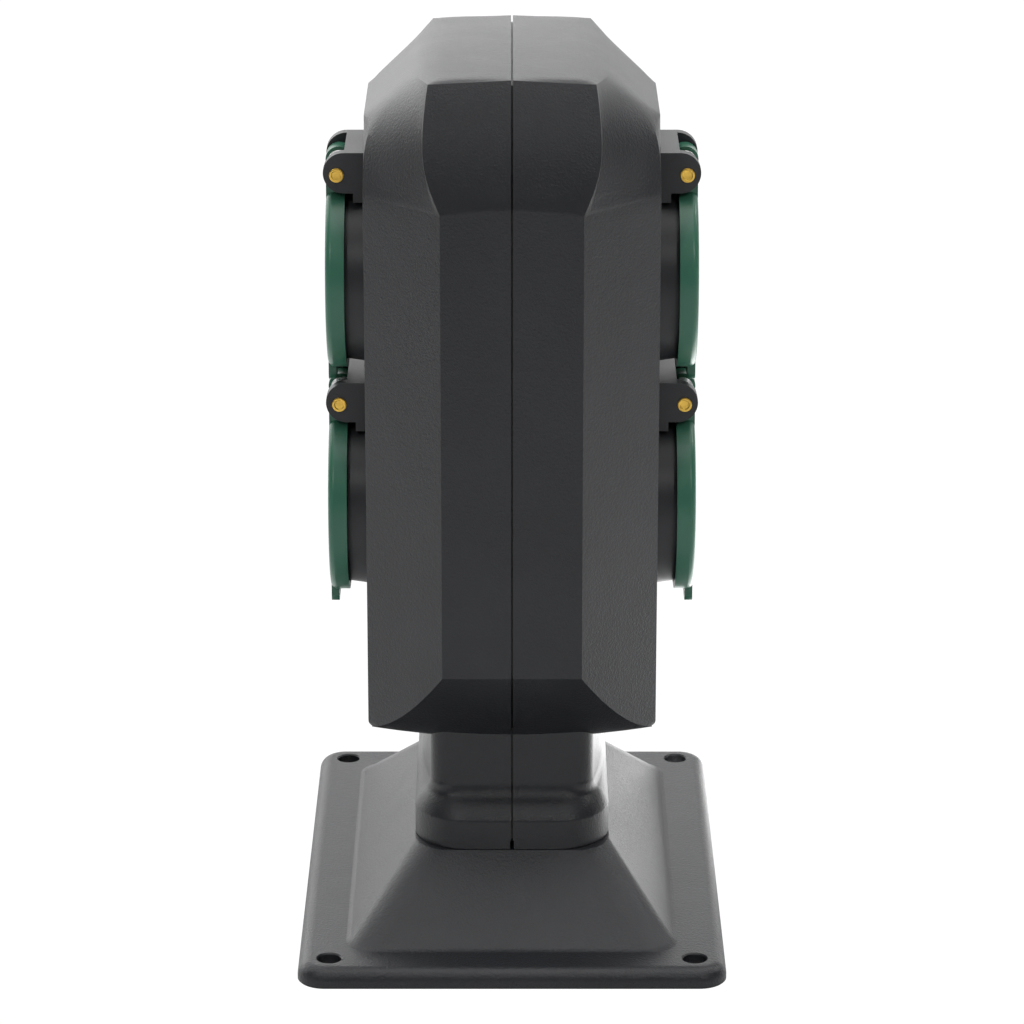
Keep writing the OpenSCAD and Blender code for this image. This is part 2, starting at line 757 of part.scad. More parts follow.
module shutter(side, z) {
  color([0.7, 0.2, 0.15]) at_socket(side, z) difference() {
    union() {
      for (y = [-1, 1]) translate([0, y * pin_y, 0]) disc_u(shutter_end_r, shutter_u0, shutter_u1);
      span([shutter_u0, -pin_y, -shutter_bar_w / 2], [shutter_u1, pin_y, shutter_bar_w / 2]);
      disc_u(post_r + 2, shutter_u0, shutter_u1);
    }
    disc_u(post_r + run_gap, shutter_u0 - overcut, shutter_u1 + overcut);
  }
}

// Round cap with a rounded edge, a finger tab, two knuckles and the web between
module lid(side, z) {
  color([0.12, 0.36, 0.25]) at_socket(side, z) difference() {
    union() {
      rotate([0, 90, 0]) rotate_extrude() difference() {
        union() {
          translate([0, collar_h]) square([lid_r, lid_h - lid_edge_r]);
          translate([0, collar_h]) square([lid_r - lid_edge_r, lid_h]);
          translate([lid_r - lid_edge_r, lid_face_u - lid_edge_r]) circle(lid_edge_r);
        }
        translate([-1, collar_h - 1]) square([lid_r - lid_rim_t + 1, lid_h - lid_t + 1]);
        translate([-lid_r, 0]) square([lid_r, 2 * lid_face_u]);
      }
      span([lid_face_u - tab_t, -tab_w / 2 + tab_corner_r, -tab_reach],
        [lid_face_u, tab_w / 2 - tab_corner_r, -lid_r + tab_root]);
      span([lid_face_u - tab_t, -tab_w / 2, -tab_reach + tab_corner_r],
        [lid_face_u, tab_w / 2, -lid_r + tab_root]);
      for (y = [-1, 1]) translate([lid_face_u - tab_t, y * (tab_w / 2 - tab_corner_r),
        -tab_reach + tab_corner_r])
        rotate([0, 90, 0]) cylinder(r = tab_corner_r, h = tab_t);
      difference() {
        span([web_u0, -knuckle_y1, web_z0], [lid_face_u, knuckle_y1, web_top]);
        disc_u(lid_r - lid_rim_t, 0, lid_inner_u);
      }
      for (y = [-knuckle_y1, knuckle_y0]) {
        translate([hinge_out, y, hinge_rise]) rotate([-90, 0, 0]) cylinder(r = knuckle_r, h = knuckle_l);
        span([web_u0, y, web_top - 1], [lid_face_u, y + knuckle_l, hinge_rise]);
      }
    }
    translate([hinge_out, 0, hinge_rise]) rotate([90, 0, 0])
      cylinder(r = pin_r + run_gap, h = bracket_l, center = true);
  }
}
web_u0 = hinge_out - 1.6;
tab_corner_r = 2;
tab_root = 3;

module lid_seal(side, z) {
  color([0.08, 0.08, 0.08]) at_socket(side, z)
    ring_u(seal_r, seal_r - seal_w, seal_u0, lid_inner_u);
}

module hinge_pin(side, z) {
  color([0.85, 0.67, 0.25]) at_socket(side, z) translate([hinge_out, 0, hinge_rise]) rotate([90, 0, 0]) {
    cylinder(r = pin_r, h = bracket_l, center = true);
    for (s = [0, 180]) rotate([s, 0, 0]) translate([0, 0, bracket_l / 2])
      cylinder(r = pin_head_r, h = pin_head_t);
  }
}

// Rings of the spring as [angle, position along Y, step back along X, step down along Z]
spring_y0 = -spring_len / 2;
spring_a0 = 90;
spring_path = concat(
  [[spring_a0, spring_y0, leg_back, 0], [spring_a0, spring_y0, wire_d, 0]],
  [for (i = [0:spring_rings]) let (t = i / spring_rings)
    [spring_a0 - t * 360 * spring_turn_total, spring_y0 + t * spring_len, 0, 0]],
  [[0, -spring_y0, 0, wire_d], [0, -spring_y0, 0, leg_down]]
);
function spring_point(p, k) = let (r = spring_r + wire_d / 2 * cos(k))
  [hinge_out + r * cos(p[0]) - p[2], p[1] + wire_d / 2 * sin(k), hinge_rise + r * sin(p[0]) - p[3]];
spring_points = [for (p = spring_path) for (k = [0:360 / wire_sides:359]) spring_point(p, k)];
spring_count = len(spring_path);
function ring_quad(i, k) = let (m = wire_sides, a = i * m + k, b = i * m + (k + 1) % m)
  [[a, a + m, b], [b, a + m, b + m]];
spring_faces = concat(
  [for (i = [0:spring_count - 2]) for (k = [0:wire_sides - 1]) for (f = ring_quad(i, k)) f],
  [for (k = [1:wire_sides - 2]) [0, k, k + 1]],
  [for (k = [1:wire_sides - 2]) let (e = (spring_count - 1) * wire_sides) [e, e + k + 1, e + k]]
);
echo(least_gap_between_spring_turns = spring_pitch - wire_d);

module lid_spring(side, z) {
  color("silver") at_socket(side, z) polyhedron(points = spring_points, faces = spring_faces);
}

module insert_screws() {
  color("silver") for (side = [-1, 1]) for (z = [upper_z, lower_z]) at_socket(side, z) fix_places() {
    disc_u(small_screw_r, plate_u0 - speck, plate_u1 + fix_screw_grip);
    disc_u(small_head_r, plate_u0 - fix_head_t, plate_u0);
  }
}

// Upright bar from the terminal block to the upper sockets
module bar(y, w) {
  span([-bar_half, y - w / 2, block_z1 - bar_seat], [bar_half, y + w / 2, upper_z + bar_over]);
}

module live_bar() {
  color([0.75, 0.45, 0.28]) bar(pin_y, bar_w);
}

module neutral_bar() {
  color([0.75, 0.45, 0.28]) bar(-pin_y, bar_w);
}

module earth_bar() {
  color([0.75, 0.45, 0.28]) bar(0, earth_bar_w);
}

module terminal_block() {
  color([0.9, 0.9, 0.86]) difference() {
    translate([-block_w / 2, -block_l / 2, block_z0]) cube([block_w, block_l, block_h]);
    for (b = [[-pin_y, bar_w], [0, earth_bar_w], [pin_y, bar_w]]) {
      span([-bar_half - fit_gap, b[0] - b[1] / 2 - fit_gap, block_z1 - bar_seat],
        [bar_half + fit_gap, b[0] + b[1] / 2 + fit_gap, block_z1 + overcut]);
      translate([0, b[0], block_z0 - overcut]) cylinder(r = wire_hole_r, h = block_h - bar_seat + 1);
      for (z = clamp_z) translate([0, b[0], z]) disc_u(clamp_r + fit_gap, bar_half, block_w);
    }
    block_screw_places() disc_u(small_screw_r + fit_gap, -block_w, block_w);
  }
}
clamp_r = 1.5;
clamp_inset = 3;
clamp_z = [block_z0 + clamp_inset, block_z1 - clamp_inset];

// Clamping screws of the terminal block, three for the wires and three for the bars
module terminal_screws() {
  color("silver") {
    for (y = [-pin_y, 0, pin_y]) {
      translate([0, y, clamp_z[0]]) disc_u(clamp_r, wire_hole_r + 0.4, block_w / 2 - 1);
      translate([0, y, clamp_z[1]]) disc_u(clamp_r, bar_half + fit_gap, block_w / 2 - 1);
    }
    block_screw_places() {
      disc_u(small_screw_r, -block_w / 2 - block_screw_grip, block_w / 2);
      disc_u(small_head_r, block_w / 2, block_w / 2 + fix_head_t);
    }
  }
}

// Gland through the foot's roof, from the inside of the neck down into the hollow foot
gland_z1 = neck_z + gland_hex_h + 2;
gland_flange_z = roof_z - gland_hex_h;
gland_cap_z = gland_flange_z - gland_cap_h;
gland_shoulder = 2;
gland_seal_z = gland_cap_z + gland_shoulder;

module gland_body() {
  color([0.15, 0.15, 0.16]) difference() {
    union() {
      translate([0, 0, gland_seal_z]) cylinder(r = gland_r, h = gland_z1 - gland_seal_z);
      translate([0, 0, gland_flange_z]) cylinder(r = gland_hex_r, h = gland_hex_h, $fn = 6);
    }
    translate([0, 0, gland_cap_z]) cylinder(r = gland_r - gland_wall, h = gland_z1 - gland_cap_z + overcut);
  }
}

module gland_nut() {
  color([0.15, 0.15, 0.16]) difference() {
    translate([0, 0, neck_z]) cylinder(r = gland_hex_r, h = gland_hex_h, $fn = 6);
    translate([0, 0, neck_z - overcut]) cylinder(r = gland_r + fit_gap, h = gland_hex_h + 2);
  }
}

module gland_cap() {
  color([0.15, 0.15, 0.16]) difference() {
    translate([0, 0, gland_cap_z]) cylinder(r = gland_r + 2.2, h = gland_cap_h);
    translate([0, 0, gland_seal_z]) cylinder(r = gland_r + fit_gap, h = gland_cap_h);
    translate([0, 0, gland_cap_z - overcut]) cylinder(r = gland_bore_r + 1, h = gland_cap_h);
  }
}

module gland_seal() {
  color([0.1, 0.1, 0.1]) difference() {
    translate([0, 0, gland_seal_z])
      cylinder(r = gland_r - gland_wall - fit_gap, h = gland_cap_h - 1);
    translate([0, 0, gland_cap_z]) cylinder(r = gland_bore_r, h = gland_cap_h + 4);
  }
}

foot();
shell_left();
shell_right();
shell_screws();
foot_screws();
frame(-1, upper_z);  // frame_left_upper
frame(-1, lower_z);  // frame_left_lower
frame(1, upper_z);  // frame_right_upper
frame(1, lower_z);  // frame_right_lower
insert(-1, upper_z);  // insert_left_upper
insert(-1, lower_z);  // insert_left_lower
insert(1, upper_z);  // insert_right_upper
insert(1, lower_z);  // insert_right_lower
contact_cover(-1, upper_z);  // contact_cover_left_upper
contact_cover(-1, lower_z);  // contact_cover_left_lower
contact_cover(1, upper_z);  // contact_cover_right_upper
contact_cover(1, lower_z);  // contact_cover_right_lower
pin_contacts(-1, upper_z);  // pin_contacts_left_upper
pin_contacts(-1, lower_z);  // pin_contacts_left_lower
pin_contacts(1, upper_z);  // pin_contacts_right_upper
pin_contacts(1, lower_z);  // pin_contacts_right_lower
earth_clip(-1, upper_z);  // earth_clip_left_upper
earth_clip(-1, lower_z);  // earth_clip_left_lower
earth_clip(1, upper_z);  // earth_clip_right_upper
earth_clip(1, lower_z);  // earth_clip_right_lower
shutter(-1, upper_z);  // shutter_left_upper
shutter(-1, lower_z);  // shutter_left_lower
shutter(1, upper_z);  // shutter_right_upper
shutter(1, lower_z);  // shutter_right_lower
lid(-1, upper_z);  // lid_left_upper
lid(-1, lower_z);  // lid_left_lower
lid(1, upper_z);  // lid_right_upper
lid(1, lower_z);  // lid_right_lower
lid_seal(-1, upper_z);  // lid_seal_left_upper
lid_seal(-1, lower_z);  // lid_seal_left_lower
lid_seal(1, upper_z);  // lid_seal_right_upper
lid_seal(1, lower_z);  // lid_seal_right_lower
hinge_pin(-1, upper_z);  // hinge_pin_left_upper
hinge_pin(-1, lower_z);  // hinge_pin_left_lower
hinge_pin(1, upper_z);  // hinge_pin_right_upper
hinge_pin(1, lower_z);  // hinge_pin_right_lower
lid_spring(-1, upper_z);  // lid_spring_left_upper
lid_spring(-1, lower_z);  // lid_spring_left_lower
lid_spring(1, upper_z);  // lid_spring_right_upper
lid_spring(1, lower_z);  // lid_spring_right_lower
insert_screws();
live_bar();
neutral_bar();
earth_bar();
terminal_block();
terminal_screws();
gland_body();
gland_nut();
gland_cap();
gland_seal();
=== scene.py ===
import math

import bmesh
import bpy
from mathutils import Matrix, Vector


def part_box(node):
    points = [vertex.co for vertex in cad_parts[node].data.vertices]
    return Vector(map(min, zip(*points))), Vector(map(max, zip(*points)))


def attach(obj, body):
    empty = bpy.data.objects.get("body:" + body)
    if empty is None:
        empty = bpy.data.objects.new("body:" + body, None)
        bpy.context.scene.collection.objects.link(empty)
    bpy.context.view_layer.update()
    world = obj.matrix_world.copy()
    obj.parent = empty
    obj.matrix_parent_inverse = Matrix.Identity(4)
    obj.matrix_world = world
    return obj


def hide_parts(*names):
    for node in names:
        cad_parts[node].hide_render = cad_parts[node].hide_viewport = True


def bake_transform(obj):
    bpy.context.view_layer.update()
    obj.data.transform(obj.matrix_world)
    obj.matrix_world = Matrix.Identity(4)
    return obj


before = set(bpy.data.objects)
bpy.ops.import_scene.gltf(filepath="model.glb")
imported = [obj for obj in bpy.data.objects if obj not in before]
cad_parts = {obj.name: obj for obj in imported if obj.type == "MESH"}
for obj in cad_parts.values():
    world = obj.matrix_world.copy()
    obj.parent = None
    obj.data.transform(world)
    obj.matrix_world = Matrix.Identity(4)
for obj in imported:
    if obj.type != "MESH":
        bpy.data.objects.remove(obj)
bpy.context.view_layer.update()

# All sizes below are in millimetres and are scaled to metres when a mesh is made.
MM = 0.001
SIDES = {"left": -1, "right": 1}
LEVELS = ("upper", "lower")


def box_mm(node):
    low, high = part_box(node)
    return low / MM, high / MM


# Sizes taken from the frame
shell_low, shell_high = box_mm("shell_right")
foot_low, foot_high = box_mm("foot")
half_t = round(shell_high.x, 1)
half_l = round(shell_high.y, 1)
crest_z = shell_high.z
neck_z = shell_low.z
plate_w = foot_high.x - foot_low.x
plate_l = foot_high.y - foot_low.y
socket_z = {level: sum(p.z for p in box_mm("insert_right_" + level)) / 2 for level in LEVELS}
pin_low, pin_high = box_mm("hinge_pin_right_upper")
hinge_x = (pin_low.x + pin_high.x) / 2
hinge_rise = (pin_low.z + pin_high.z) / 2 - socket_z["upper"]
bracket_top = box_mm("frame_right_upper")[1].z - socket_z["upper"]

# Column: the broad faces, the narrow band at the front and the back, and the bevels between them
half_face = 32
half_band = 17.5
bevel_sum = half_l + half_band
face_rise = 30.2
face_z0 = neck_z + face_rise
face_z1 = face_z0 + 156.9
band_z0 = face_z0 + 20
belly_power = 1.55
belly_crown = 3.2
belly_rows = 24
top_half_l = 38.6
top_crown = 0.7
top_edge_x = 24
top_corner_x = 20.3
top_corner_y = 24
face_corner_y = 25.5
turn_reach = 20
turn_power = 1.7
top_drop = 0.55
top_drop_x = 20
top_roll = 1.5
top_roll_start = 17
top_roll_width = 7
top_rows = 16
shoulder_a0 = math.radians(54)
shoulder_a1 = math.radians(81)
shoulder_r = (half_l - top_half_l) / (math.sin(shoulder_a1) - math.sin(shoulder_a0))
band_z1 = crest_z - top_crown - shoulder_r * (math.cos(shoulder_a0) - math.cos(shoulder_a1))
pad_swell = 4.2
pad_taper = 1.4
pad_over = 1.4
pad_proud = 0.4
pad_proud_run = 7
soft_below = 7
soft_above = 3
roll_reach = 16
roll_turns = 70
roll_start = 9
roll_shares = (0.7, 0.8, 0.8, 0.8, 0.75, 0.6, 0.45, 0.3, 0.15)
crease_rise = 1.5
crease_reach = 5
edge_r = 0.8
low_edge_r = 1.6
seam_half = 0.23


def smooth_step(low, high, value):
    t = min(max((value - low) / (high - low), 0), 1)
    return t * t * (3 - 2 * t)


def blend(a, b, t):
    return tuple(p + (q - p) * t for p, q in zip(a, b))


# Mesh helpers, with the distances in millimetres below which points count as one
cad_merge = 0.0005
build_merge = 0.002
cut_merge = 0.004
same = 0.001
flat_angle = 0.1


def link(name, mesh):
    piece = bpy.data.objects.new(name, mesh)
    bpy.context.scene.collection.objects.link(piece)
    return piece


def solid(name, points, faces):
    """A closed mesh from points in millimetres, with doubles merged and normals outward."""
    bm = bmesh.new()
    vertices = [bm.verts.new(Vector(p) * MM) for p in points]
    for face in faces:
        if len(set(face)) > 2:
            bm.faces.new([vertices[i] for i in face])
    bmesh.ops.remove_doubles(bm, verts=bm.verts, dist=build_merge * MM)
    bmesh.ops.dissolve_degenerate(bm, edges=bm.edges, dist=build_merge * MM)
    bmesh.ops.recalc_face_normals(bm, faces=bm.faces)
    mesh = bpy.data.meshes.new(name)
    bm.to_mesh(mesh)
    bm.free()
    return link(name, mesh)


def walls(rows, count):
    """Faces between rings of points that follow one another."""
    faces = []
    for row in range(rows - 1):
        for k in range(count):
            a = row * count + k
            b = row * count + (k + 1) % count
            faces.append((a, b, b + count, a + count))
    return faces


def loft(name, rings):
    """A closed skin over rings of points, with a cap on the first and the last."""
    count = len(rings[0])
    points = [p for ring in rings for p in ring]
    faces = walls(len(rings), count)
    faces.append(tuple(reversed(range(count))))
    faces.append(tuple(range(len(points) - count, len(points))))
    return solid(name, points, faces)


def bake(piece):
    """Applies the modifiers of a piece to its mesh."""
    depsgraph = bpy.context.evaluated_depsgraph_get()
    mesh = bpy.data.meshes.new_from_object(piece.evaluated_get(depsgraph))
    piece.modifiers.clear()
    piece.data = mesh
    return piece


def combine(piece, other, operation):
    """Cuts a piece with another one or unites them; the other one is used up."""
    modifier = piece.modifiers.new("combine", "BOOLEAN")
    modifier.operation = operation
    modifier.solver = "EXACT"
    modifier.object = other
    bake(piece)
    bpy.data.objects.remove(other)
    return piece


def rounded(piece, width, segments=3, limit=20):
    """Rounds the sharp edges of a piece."""
    modifier = piece.modifiers.new("edges", "BEVEL")
    modifier.width = width * MM
    modifier.segments = segments
    modifier.limit_method = "ANGLE"
    modifier.angle_limit = math.radians(limit)
    modifier.use_clamp_overlap = True
    modifier.miter_outer = "MITER_ARC"
    return bake(piece)


def tidied(piece):
    """Joins doubled corners that the cuts leave, closes gaps and joins parts of broad faces."""
    bm = bmesh.new()
    bm.from_mesh(piece.data)
    bmesh.ops.remove_doubles(bm, verts=bm.verts, dist=cut_merge * MM)
    bmesh.ops.dissolve_degenerate(bm, edges=bm.edges, dist=cut_merge * MM)
    bmesh.ops.holes_fill(bm, edges=bm.edges, sides=4)
    broad = [vert for vert in bm.verts if abs(abs(vert.co.x) - half_t * MM) < same * MM]
    within = set(broad)
    inner = [edge for edge in bm.edges if within.issuperset(edge.verts)]
    bmesh.ops.dissolve_limit(bm, angle_limit=math.radians(flat_angle), verts=broad, edges=inner)
    bm.to_mesh(piece.data)
    bm.free()
    return piece


def cad_copy(node):
    """A closed copy of a CAD node's mesh, with the doubled corners of its faces merged."""
    bm = bmesh.new()
    bm.from_mesh(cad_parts[node].data)
    bmesh.ops.remove_doubles(bm, verts=bm.verts, dist=cad_merge * MM)
    mesh = bpy.data.meshes.new(node + "_copy")
    bm.to_mesh(mesh)
    bm.free()
    return link(node + "_copy", mesh)


def block(name, low, high):
    xs, ys, zs = zip(low, high)
    points = [(x, y, z) for x in xs for y in ys for z in zs]
    faces = [(0, 1, 3, 2), (4, 6, 7, 5), (0, 4, 5, 1), (2, 3, 7, 6), (0, 2, 6, 4), (1, 5, 7, 3)]
    return solid(name, points, faces)


def lathe(name, profile, steps=64):
    """Turns a profile of (radius, height) about Z."""
    rings = []
    for radius, height in profile:
        angles = [2 * math.pi * k / steps for k in range(steps)]
        rings.append([(radius * math.cos(a), radius * math.sin(a), height) for a in angles])
    return loft(name, rings)


def cylinder_along_x(name, radius, x0, x1, y, z, steps=96):
    """A cutter whose corners miss the planes through its axis, where other corners lie."""
    angles = [2 * math.pi * (k + 0.4) / steps for k in range(steps)]
    rings = [[(x, y + radius * math.cos(a), z + radius * math.sin(a)) for a in angles]
             for x in (x0, x1)]
    return loft(name, rings)


def joined(pieces):
    """Joins pieces that don't touch into one."""
    bm = bmesh.new()
    for piece in pieces:
        bm.from_mesh(piece.data)
        bpy.data.objects.remove(piece)
    mesh = bpy.data.meshes.new("joined")
    bm.to_mesh(mesh)
    bm.free()
    return link("joined", mesh)


def round_rect(width, length, radius, z, steps=14, belly=0):
    """Points of a rectangle with round corners, whose long sides can bulge in the middle."""
    ring = []
    for sx, sy, start in ((1, 1, 0), (-1, 1, 90), (-1, -1, 180), (1, -1, 270)):
        for i in range(steps + 1):
            a = math.radians(start + 90 * i / steps)
            ring.append((sx * (width / 2 - radius) + radius * math.cos(a),
                         sy * (length / 2 - radius) + radius * math.sin(a), z))
        if belly and sx * sy < 0:
            for share in (sy * k / 6 for k in range(5, -6, -1)):
                half_width = width / 2 + belly * (1 - share ** 2)
                ring.append((sx * half_width, share * (length / 2 - radius), z))
    return ring


# Outside of the column
def top_height(x, y):
    side = min(abs(x), top_edge_x)
    roll = max(0, (side - top_roll_start) / top_roll_width)
    crown = top_crown * (y / top_half_l) ** 2
    return crest_z - crown - top_drop * (side / top_drop_x) ** 3 - top_roll * roll ** 2


def front_y(z):
    """How far the band, the belly under it and the shoulder over it reach to the front."""
    if z < band_z0:
        share = max(z - face_z0, 0) / (band_z0 - face_z0)
        return half_face + (half_l - half_face) * share ** (1 / belly_power)
    if z <= band_z1:
        return half_l
    slope = math.acos(min(math.cos(shoulder_a1) + (z - band_z1) / shoulder_r, 1))
    return half_l - shoulder_r * (math.sin(shoulder_a1) - math.sin(slope))


def pad_x(z):
    """Half width of the front: the band, and the pad of the shoulder over it."""
    if z <= band_z1:
        return bevel_sum - front_y(z)
    t = (z - band_z1) / (crest_z - top_crown - band_z1)
    swell = pad_swell * math.sin(math.pi / 2 * min(2 * t, 1))
    return half_band + swell - pad_taper * max(0, 2 * t - 1) ** 2


def key_points(z, lift):
    """Front, pad corner, broad corner and side of a level. Above the broad face lift is over 0."""
    if lift == 0:
        turn = max(0, (z - face_z1 + turn_reach) / turn_reach) ** turn_power
        corner_y = half_face - (half_face - face_corner_y) * turn
        return ((0, front_y(z), z), (pad_x(z), front_y(z), z),
                (half_t, corner_y, z), (half_t, 0, z))
    ends = ((0, top_half_l), (top_corner_x, top_half_l),
            (top_edge_x, top_corner_y), (top_edge_x, 0))
    heights = [face_z1 + lift * (top_height(x, y) - face_z1) for x, y in ends]
    side_x = half_t + lift * (top_edge_x - half_t)
    corner_y = face_corner_y + lift * (top_corner_y - face_corner_y)
    pad = min(pad_x(heights[1]), top_corner_x + pad_over)
    return ((0, front_y(heights[0]), heights[0]), (pad, front_y(heights[1]), heights[1]),
            (side_x, corner_y, heights[2]), (side_x, 0, heights[3]))


def quarter(z, lift):
    """Points of a level from the seam at the front round to the middle of the broad face.

    The lowest edges are tucked in, and the corners soften towards the shoulder.
    """
    front, pad, corner, side = key_points(z, lift)
    low_turn = max(0, 1 - (z - face_z0) / low_edge_r)
    tuck = low_edge_r * (1 - math.sqrt(1 - low_turn ** 2))
    pad, corner, side = ((min(x, half_t - tuck), y, height) for x, y, height in (pad, corner, side))
    if lift == 0:
        softness = smooth_step(face_z1 - soft_below, face_z1 + soft_above, z)
    else:
        softness = smooth_step(0, 0.25, 0.15 + lift)
    points = []
    for t in (0, 0.02, 0.2, 0.4, 0.6, 0.8, 0.93, 1):
        x, y, height = blend(front, pad, t)
        if z < band_z0 and lift == 0:
            share = ((z - face_z0) / (band_z0 - face_z0)) ** (1 / belly_power)
            height -= belly_crown * (1 - share) * (1 - t * t)
        if lift == 0:
            near = math.exp(-((z - band_z1) / crease_reach) ** 2)
            height += crease_rise * (1 - t * t) * near
        points.append((x, y, height))
    proud = pad_proud * smooth_step(band_z1, band_z1 + pad_proud_run, pad[2])
    proud *= 1 - smooth_step(face_z1 + 2, crest_z - 2, pad[2])
    for t in (0.035, 0.07, 0.25, 0.5):
        x, y, height = blend(pad, corner, t)
        back = proud * (1 - 2 * t)
        points.append((x - back, y - back, height))
    before = blend(corner, pad, 0.3)
    after = blend(corner, side, 0.3)
    for t in (0, 0.2, 0.35, 0.5, 0.65, 0.8, 1):
        crisp = blend(before, corner, 2 * t) if t < 0.5 else blend(corner, after, 2 * t - 1)
        soft = blend(blend(before, corner, t), blend(corner, after, t), t)
        points.append(blend(crisp, soft, softness))
    points += [blend(after, side, t) for t in (0.35, 0.7, 1)]
    return points


def quarters_of_column():
    """All levels, with the bend over the broad face spread out towards the pad."""
    levels = levels_of_column()
    parts = [quarter(z, lift) for z, lift in levels]
    first = next(i for i, (z, lift) in enumerate(levels) if z > face_z1 - roll_reach)
    for _ in range(roll_turns):
        before = [list(part) for part in parts]
        for row in range(first, len(parts) - 1):
            for spot, share in enumerate(roll_shares, roll_start):
                middle = blend(before[row - 1][spot], before[row + 1][spot], 0.5)
                parts[row][spot] = blend(before[row][spot], middle, share)
    return parts


def full_ring(part):
    """A quarter of a level mirrored into all four."""
    ring = []
    for sx, sy in ((1, -1), (1, 1), (-1, 1), (-1, -1)):
        flipped = [(sx * x, sy * y, height) for x, y, height in part]
        if sx * sy > 0:
            flipped.reverse()
        ring += flipped[:-1]
    return ring


def levels_of_column():
    """Heights of the rings: belly, band, crease of the pad, shoulder, and the top with its lift."""
    levels = [(face_z0 + (band_z0 - face_z0) * (i / belly_rows) ** belly_power, 0)
              for i in range(belly_rows + 1)]
    levels += [(band_z0 + (band_z1 - 8 - band_z0) * i / 9, 0) for i in range(1, 10)]
    levels += [(band_z1 + d, 0) for d in (-5, -3, -1.6, -0.8, -0.3, 0, 0.3, 0.8, 1.6)]
    levels += [(band_z1 + 2.6 + (face_z1 - 0.2 - band_z1 - 2.6) * i / 14, 0) for i in range(15)]
    levels += [(face_z1, i / top_rows) for i in range(top_rows + 1)]
    return levels


def column_outside():
    rings = [full_ring(part) for part in quarters_of_column()]
    count = len(rings[0])
    top = rings[-1]
    for share in (0.96, 0.88, 0.74, 0.56, 0.36, 0.16):
        rings.append([(x * share, y * share, top_height(x * share, y * share)) for x, y, z in top])
    points = [p for ring in rings for p in ring]
    faces = walls(len(rings), count)
    points.append((0, 0, crest_z))
    last = len(points) - 1
    for k in range(count):
        faces.append((last - count + k, last - count + (k + 1) % count, last))
    # The underside: a grid between the front and the back of the lowest level
    part = quarter(face_z0, 0)
    low_half_t = half_t - low_edge_r
    xs = [x for x, y, z in part if abs(y - half_face) < same]
    ys = [y for x, y, z in part if abs(x - low_half_t) < same]
    xs, ys = (sorted(set(round(s * v, 4) for v in values for s in (-1, 1))) for values in (xs, ys))
    start = len(points)
    for y in ys:
        points += [(x, y, face_z0 - belly_crown * (1 - (x / low_half_t) ** 2)) for x in xs]
    for j in range(len(ys) - 1):
        for i in range(len(xs) - 1):
            a = start + j * len(xs) + i
            faces.append((a, a + len(xs), a + len(xs) + 1, a + 1))
    return solid("column_outside", points, faces)


def column_inside(outside, wall):
    """The outside drawn in by the wall, as a scaled copy."""
    middle = Vector((0, 0, (face_z0 - belly_crown + crest_z) / 2)) * MM
    half = Vector((half_t, half_l, (crest_z - face_z0 + belly_crown) / 2))
    scale = Matrix.Diagonal(Vector([(h - wall) / h for h in half] + [1]))
    mesh = outside.data.copy()
    mesh.transform(Matrix.Translation(middle) @ scale @ Matrix.Translation(-middle))
    return link("column_inside", mesh)


# Neck
neck_w = 47.4
neck_l = 72
neck_front = 42
neck_r = 4.6
collar_w = 50
collar_l = 84
collar_r = 14
collar_h = 7.7
flare_h = 8.7
flare_hollow = 0.45
flare_lean = math.radians(54)
flare_end = math.radians(28)
flare_steps = 26


def neck_ring(share, inset, z):
    """Section of the neck: slightly bulging sides at share 0, the collar at share 1."""
    width = neck_front + (collar_w - neck_front) * share
    length = neck_l + (collar_l - neck_l) * share
    radius = neck_r + (collar_r - neck_r) * share ** 0.5
    bulge = (neck_w - neck_front) / 2 * (1 - share)
    return round_rect(width - 2 * inset, length - 2 * inset, radius - inset * 0.4, z,
                      belly=max(bulge, same))


def flare_profile(steps):
    """Shares of the way out and down along the flare: a tight hollow, then a round shoulder."""
    out, down = [0], [0]
    for i in range(steps):
        share = (i + 0.5) / steps
        if share < flare_hollow:
            lean = flare_lean * share / flare_hollow
        else:
            after = (share - flare_hollow) / (1 - flare_hollow)
            lean = flare_lean - (flare_lean - flare_end) * after
        out.append(out[-1] + math.sin(lean))
        down.append(down[-1] + math.cos(lean))
    return [(a / out[-1], b / down[-1]) for a, b in zip(out, down)]


def neck_outside(inset=0, low=None):
    """The neck from inside the column down over the flare to the collar on the foot."""
    flare_z = neck_z + collar_h + flare_h
    rings = [neck_ring(0, inset, face_z0 + 6), neck_ring(0, inset, flare_z + 3)]
    for out, down in flare_profile(flare_steps):
        rings.append(neck_ring(out, inset, neck_z + collar_h + flare_h * (1 - down)))
    rings.append(neck_ring(1, inset, neck_z if low is None else low))
    return loft("neck", rings)


# Hood between the ears of a socket frame, measured from the column's broad face
hood_half = 9.7
hood_start = 2
hood_end = 5.3
hood_t = 2.2

# Sockets and screws in the shells
hole_r = 21.8
recess_r = 3.6
shell_wall = 2.8
skin_t = 2.4
overlap = 0.6
slip = 0.12
groove_depth = 1.5
shell_screw_y = 25
shell_screw_r = 3.5
notch_half = 0.5
notch_h = 2.6
notch_y0 = 30
notch_y1 = 45
socket_pitch = 60


def screw_heights():
    low, high = box_mm("shell_screws")
    return [low.z + shell_screw_r, socket_z["lower"] + socket_pitch / 2, high.z - shell_screw_r]


def copy_of(piece):
    return link(piece.name + "_copy", piece.data.copy())


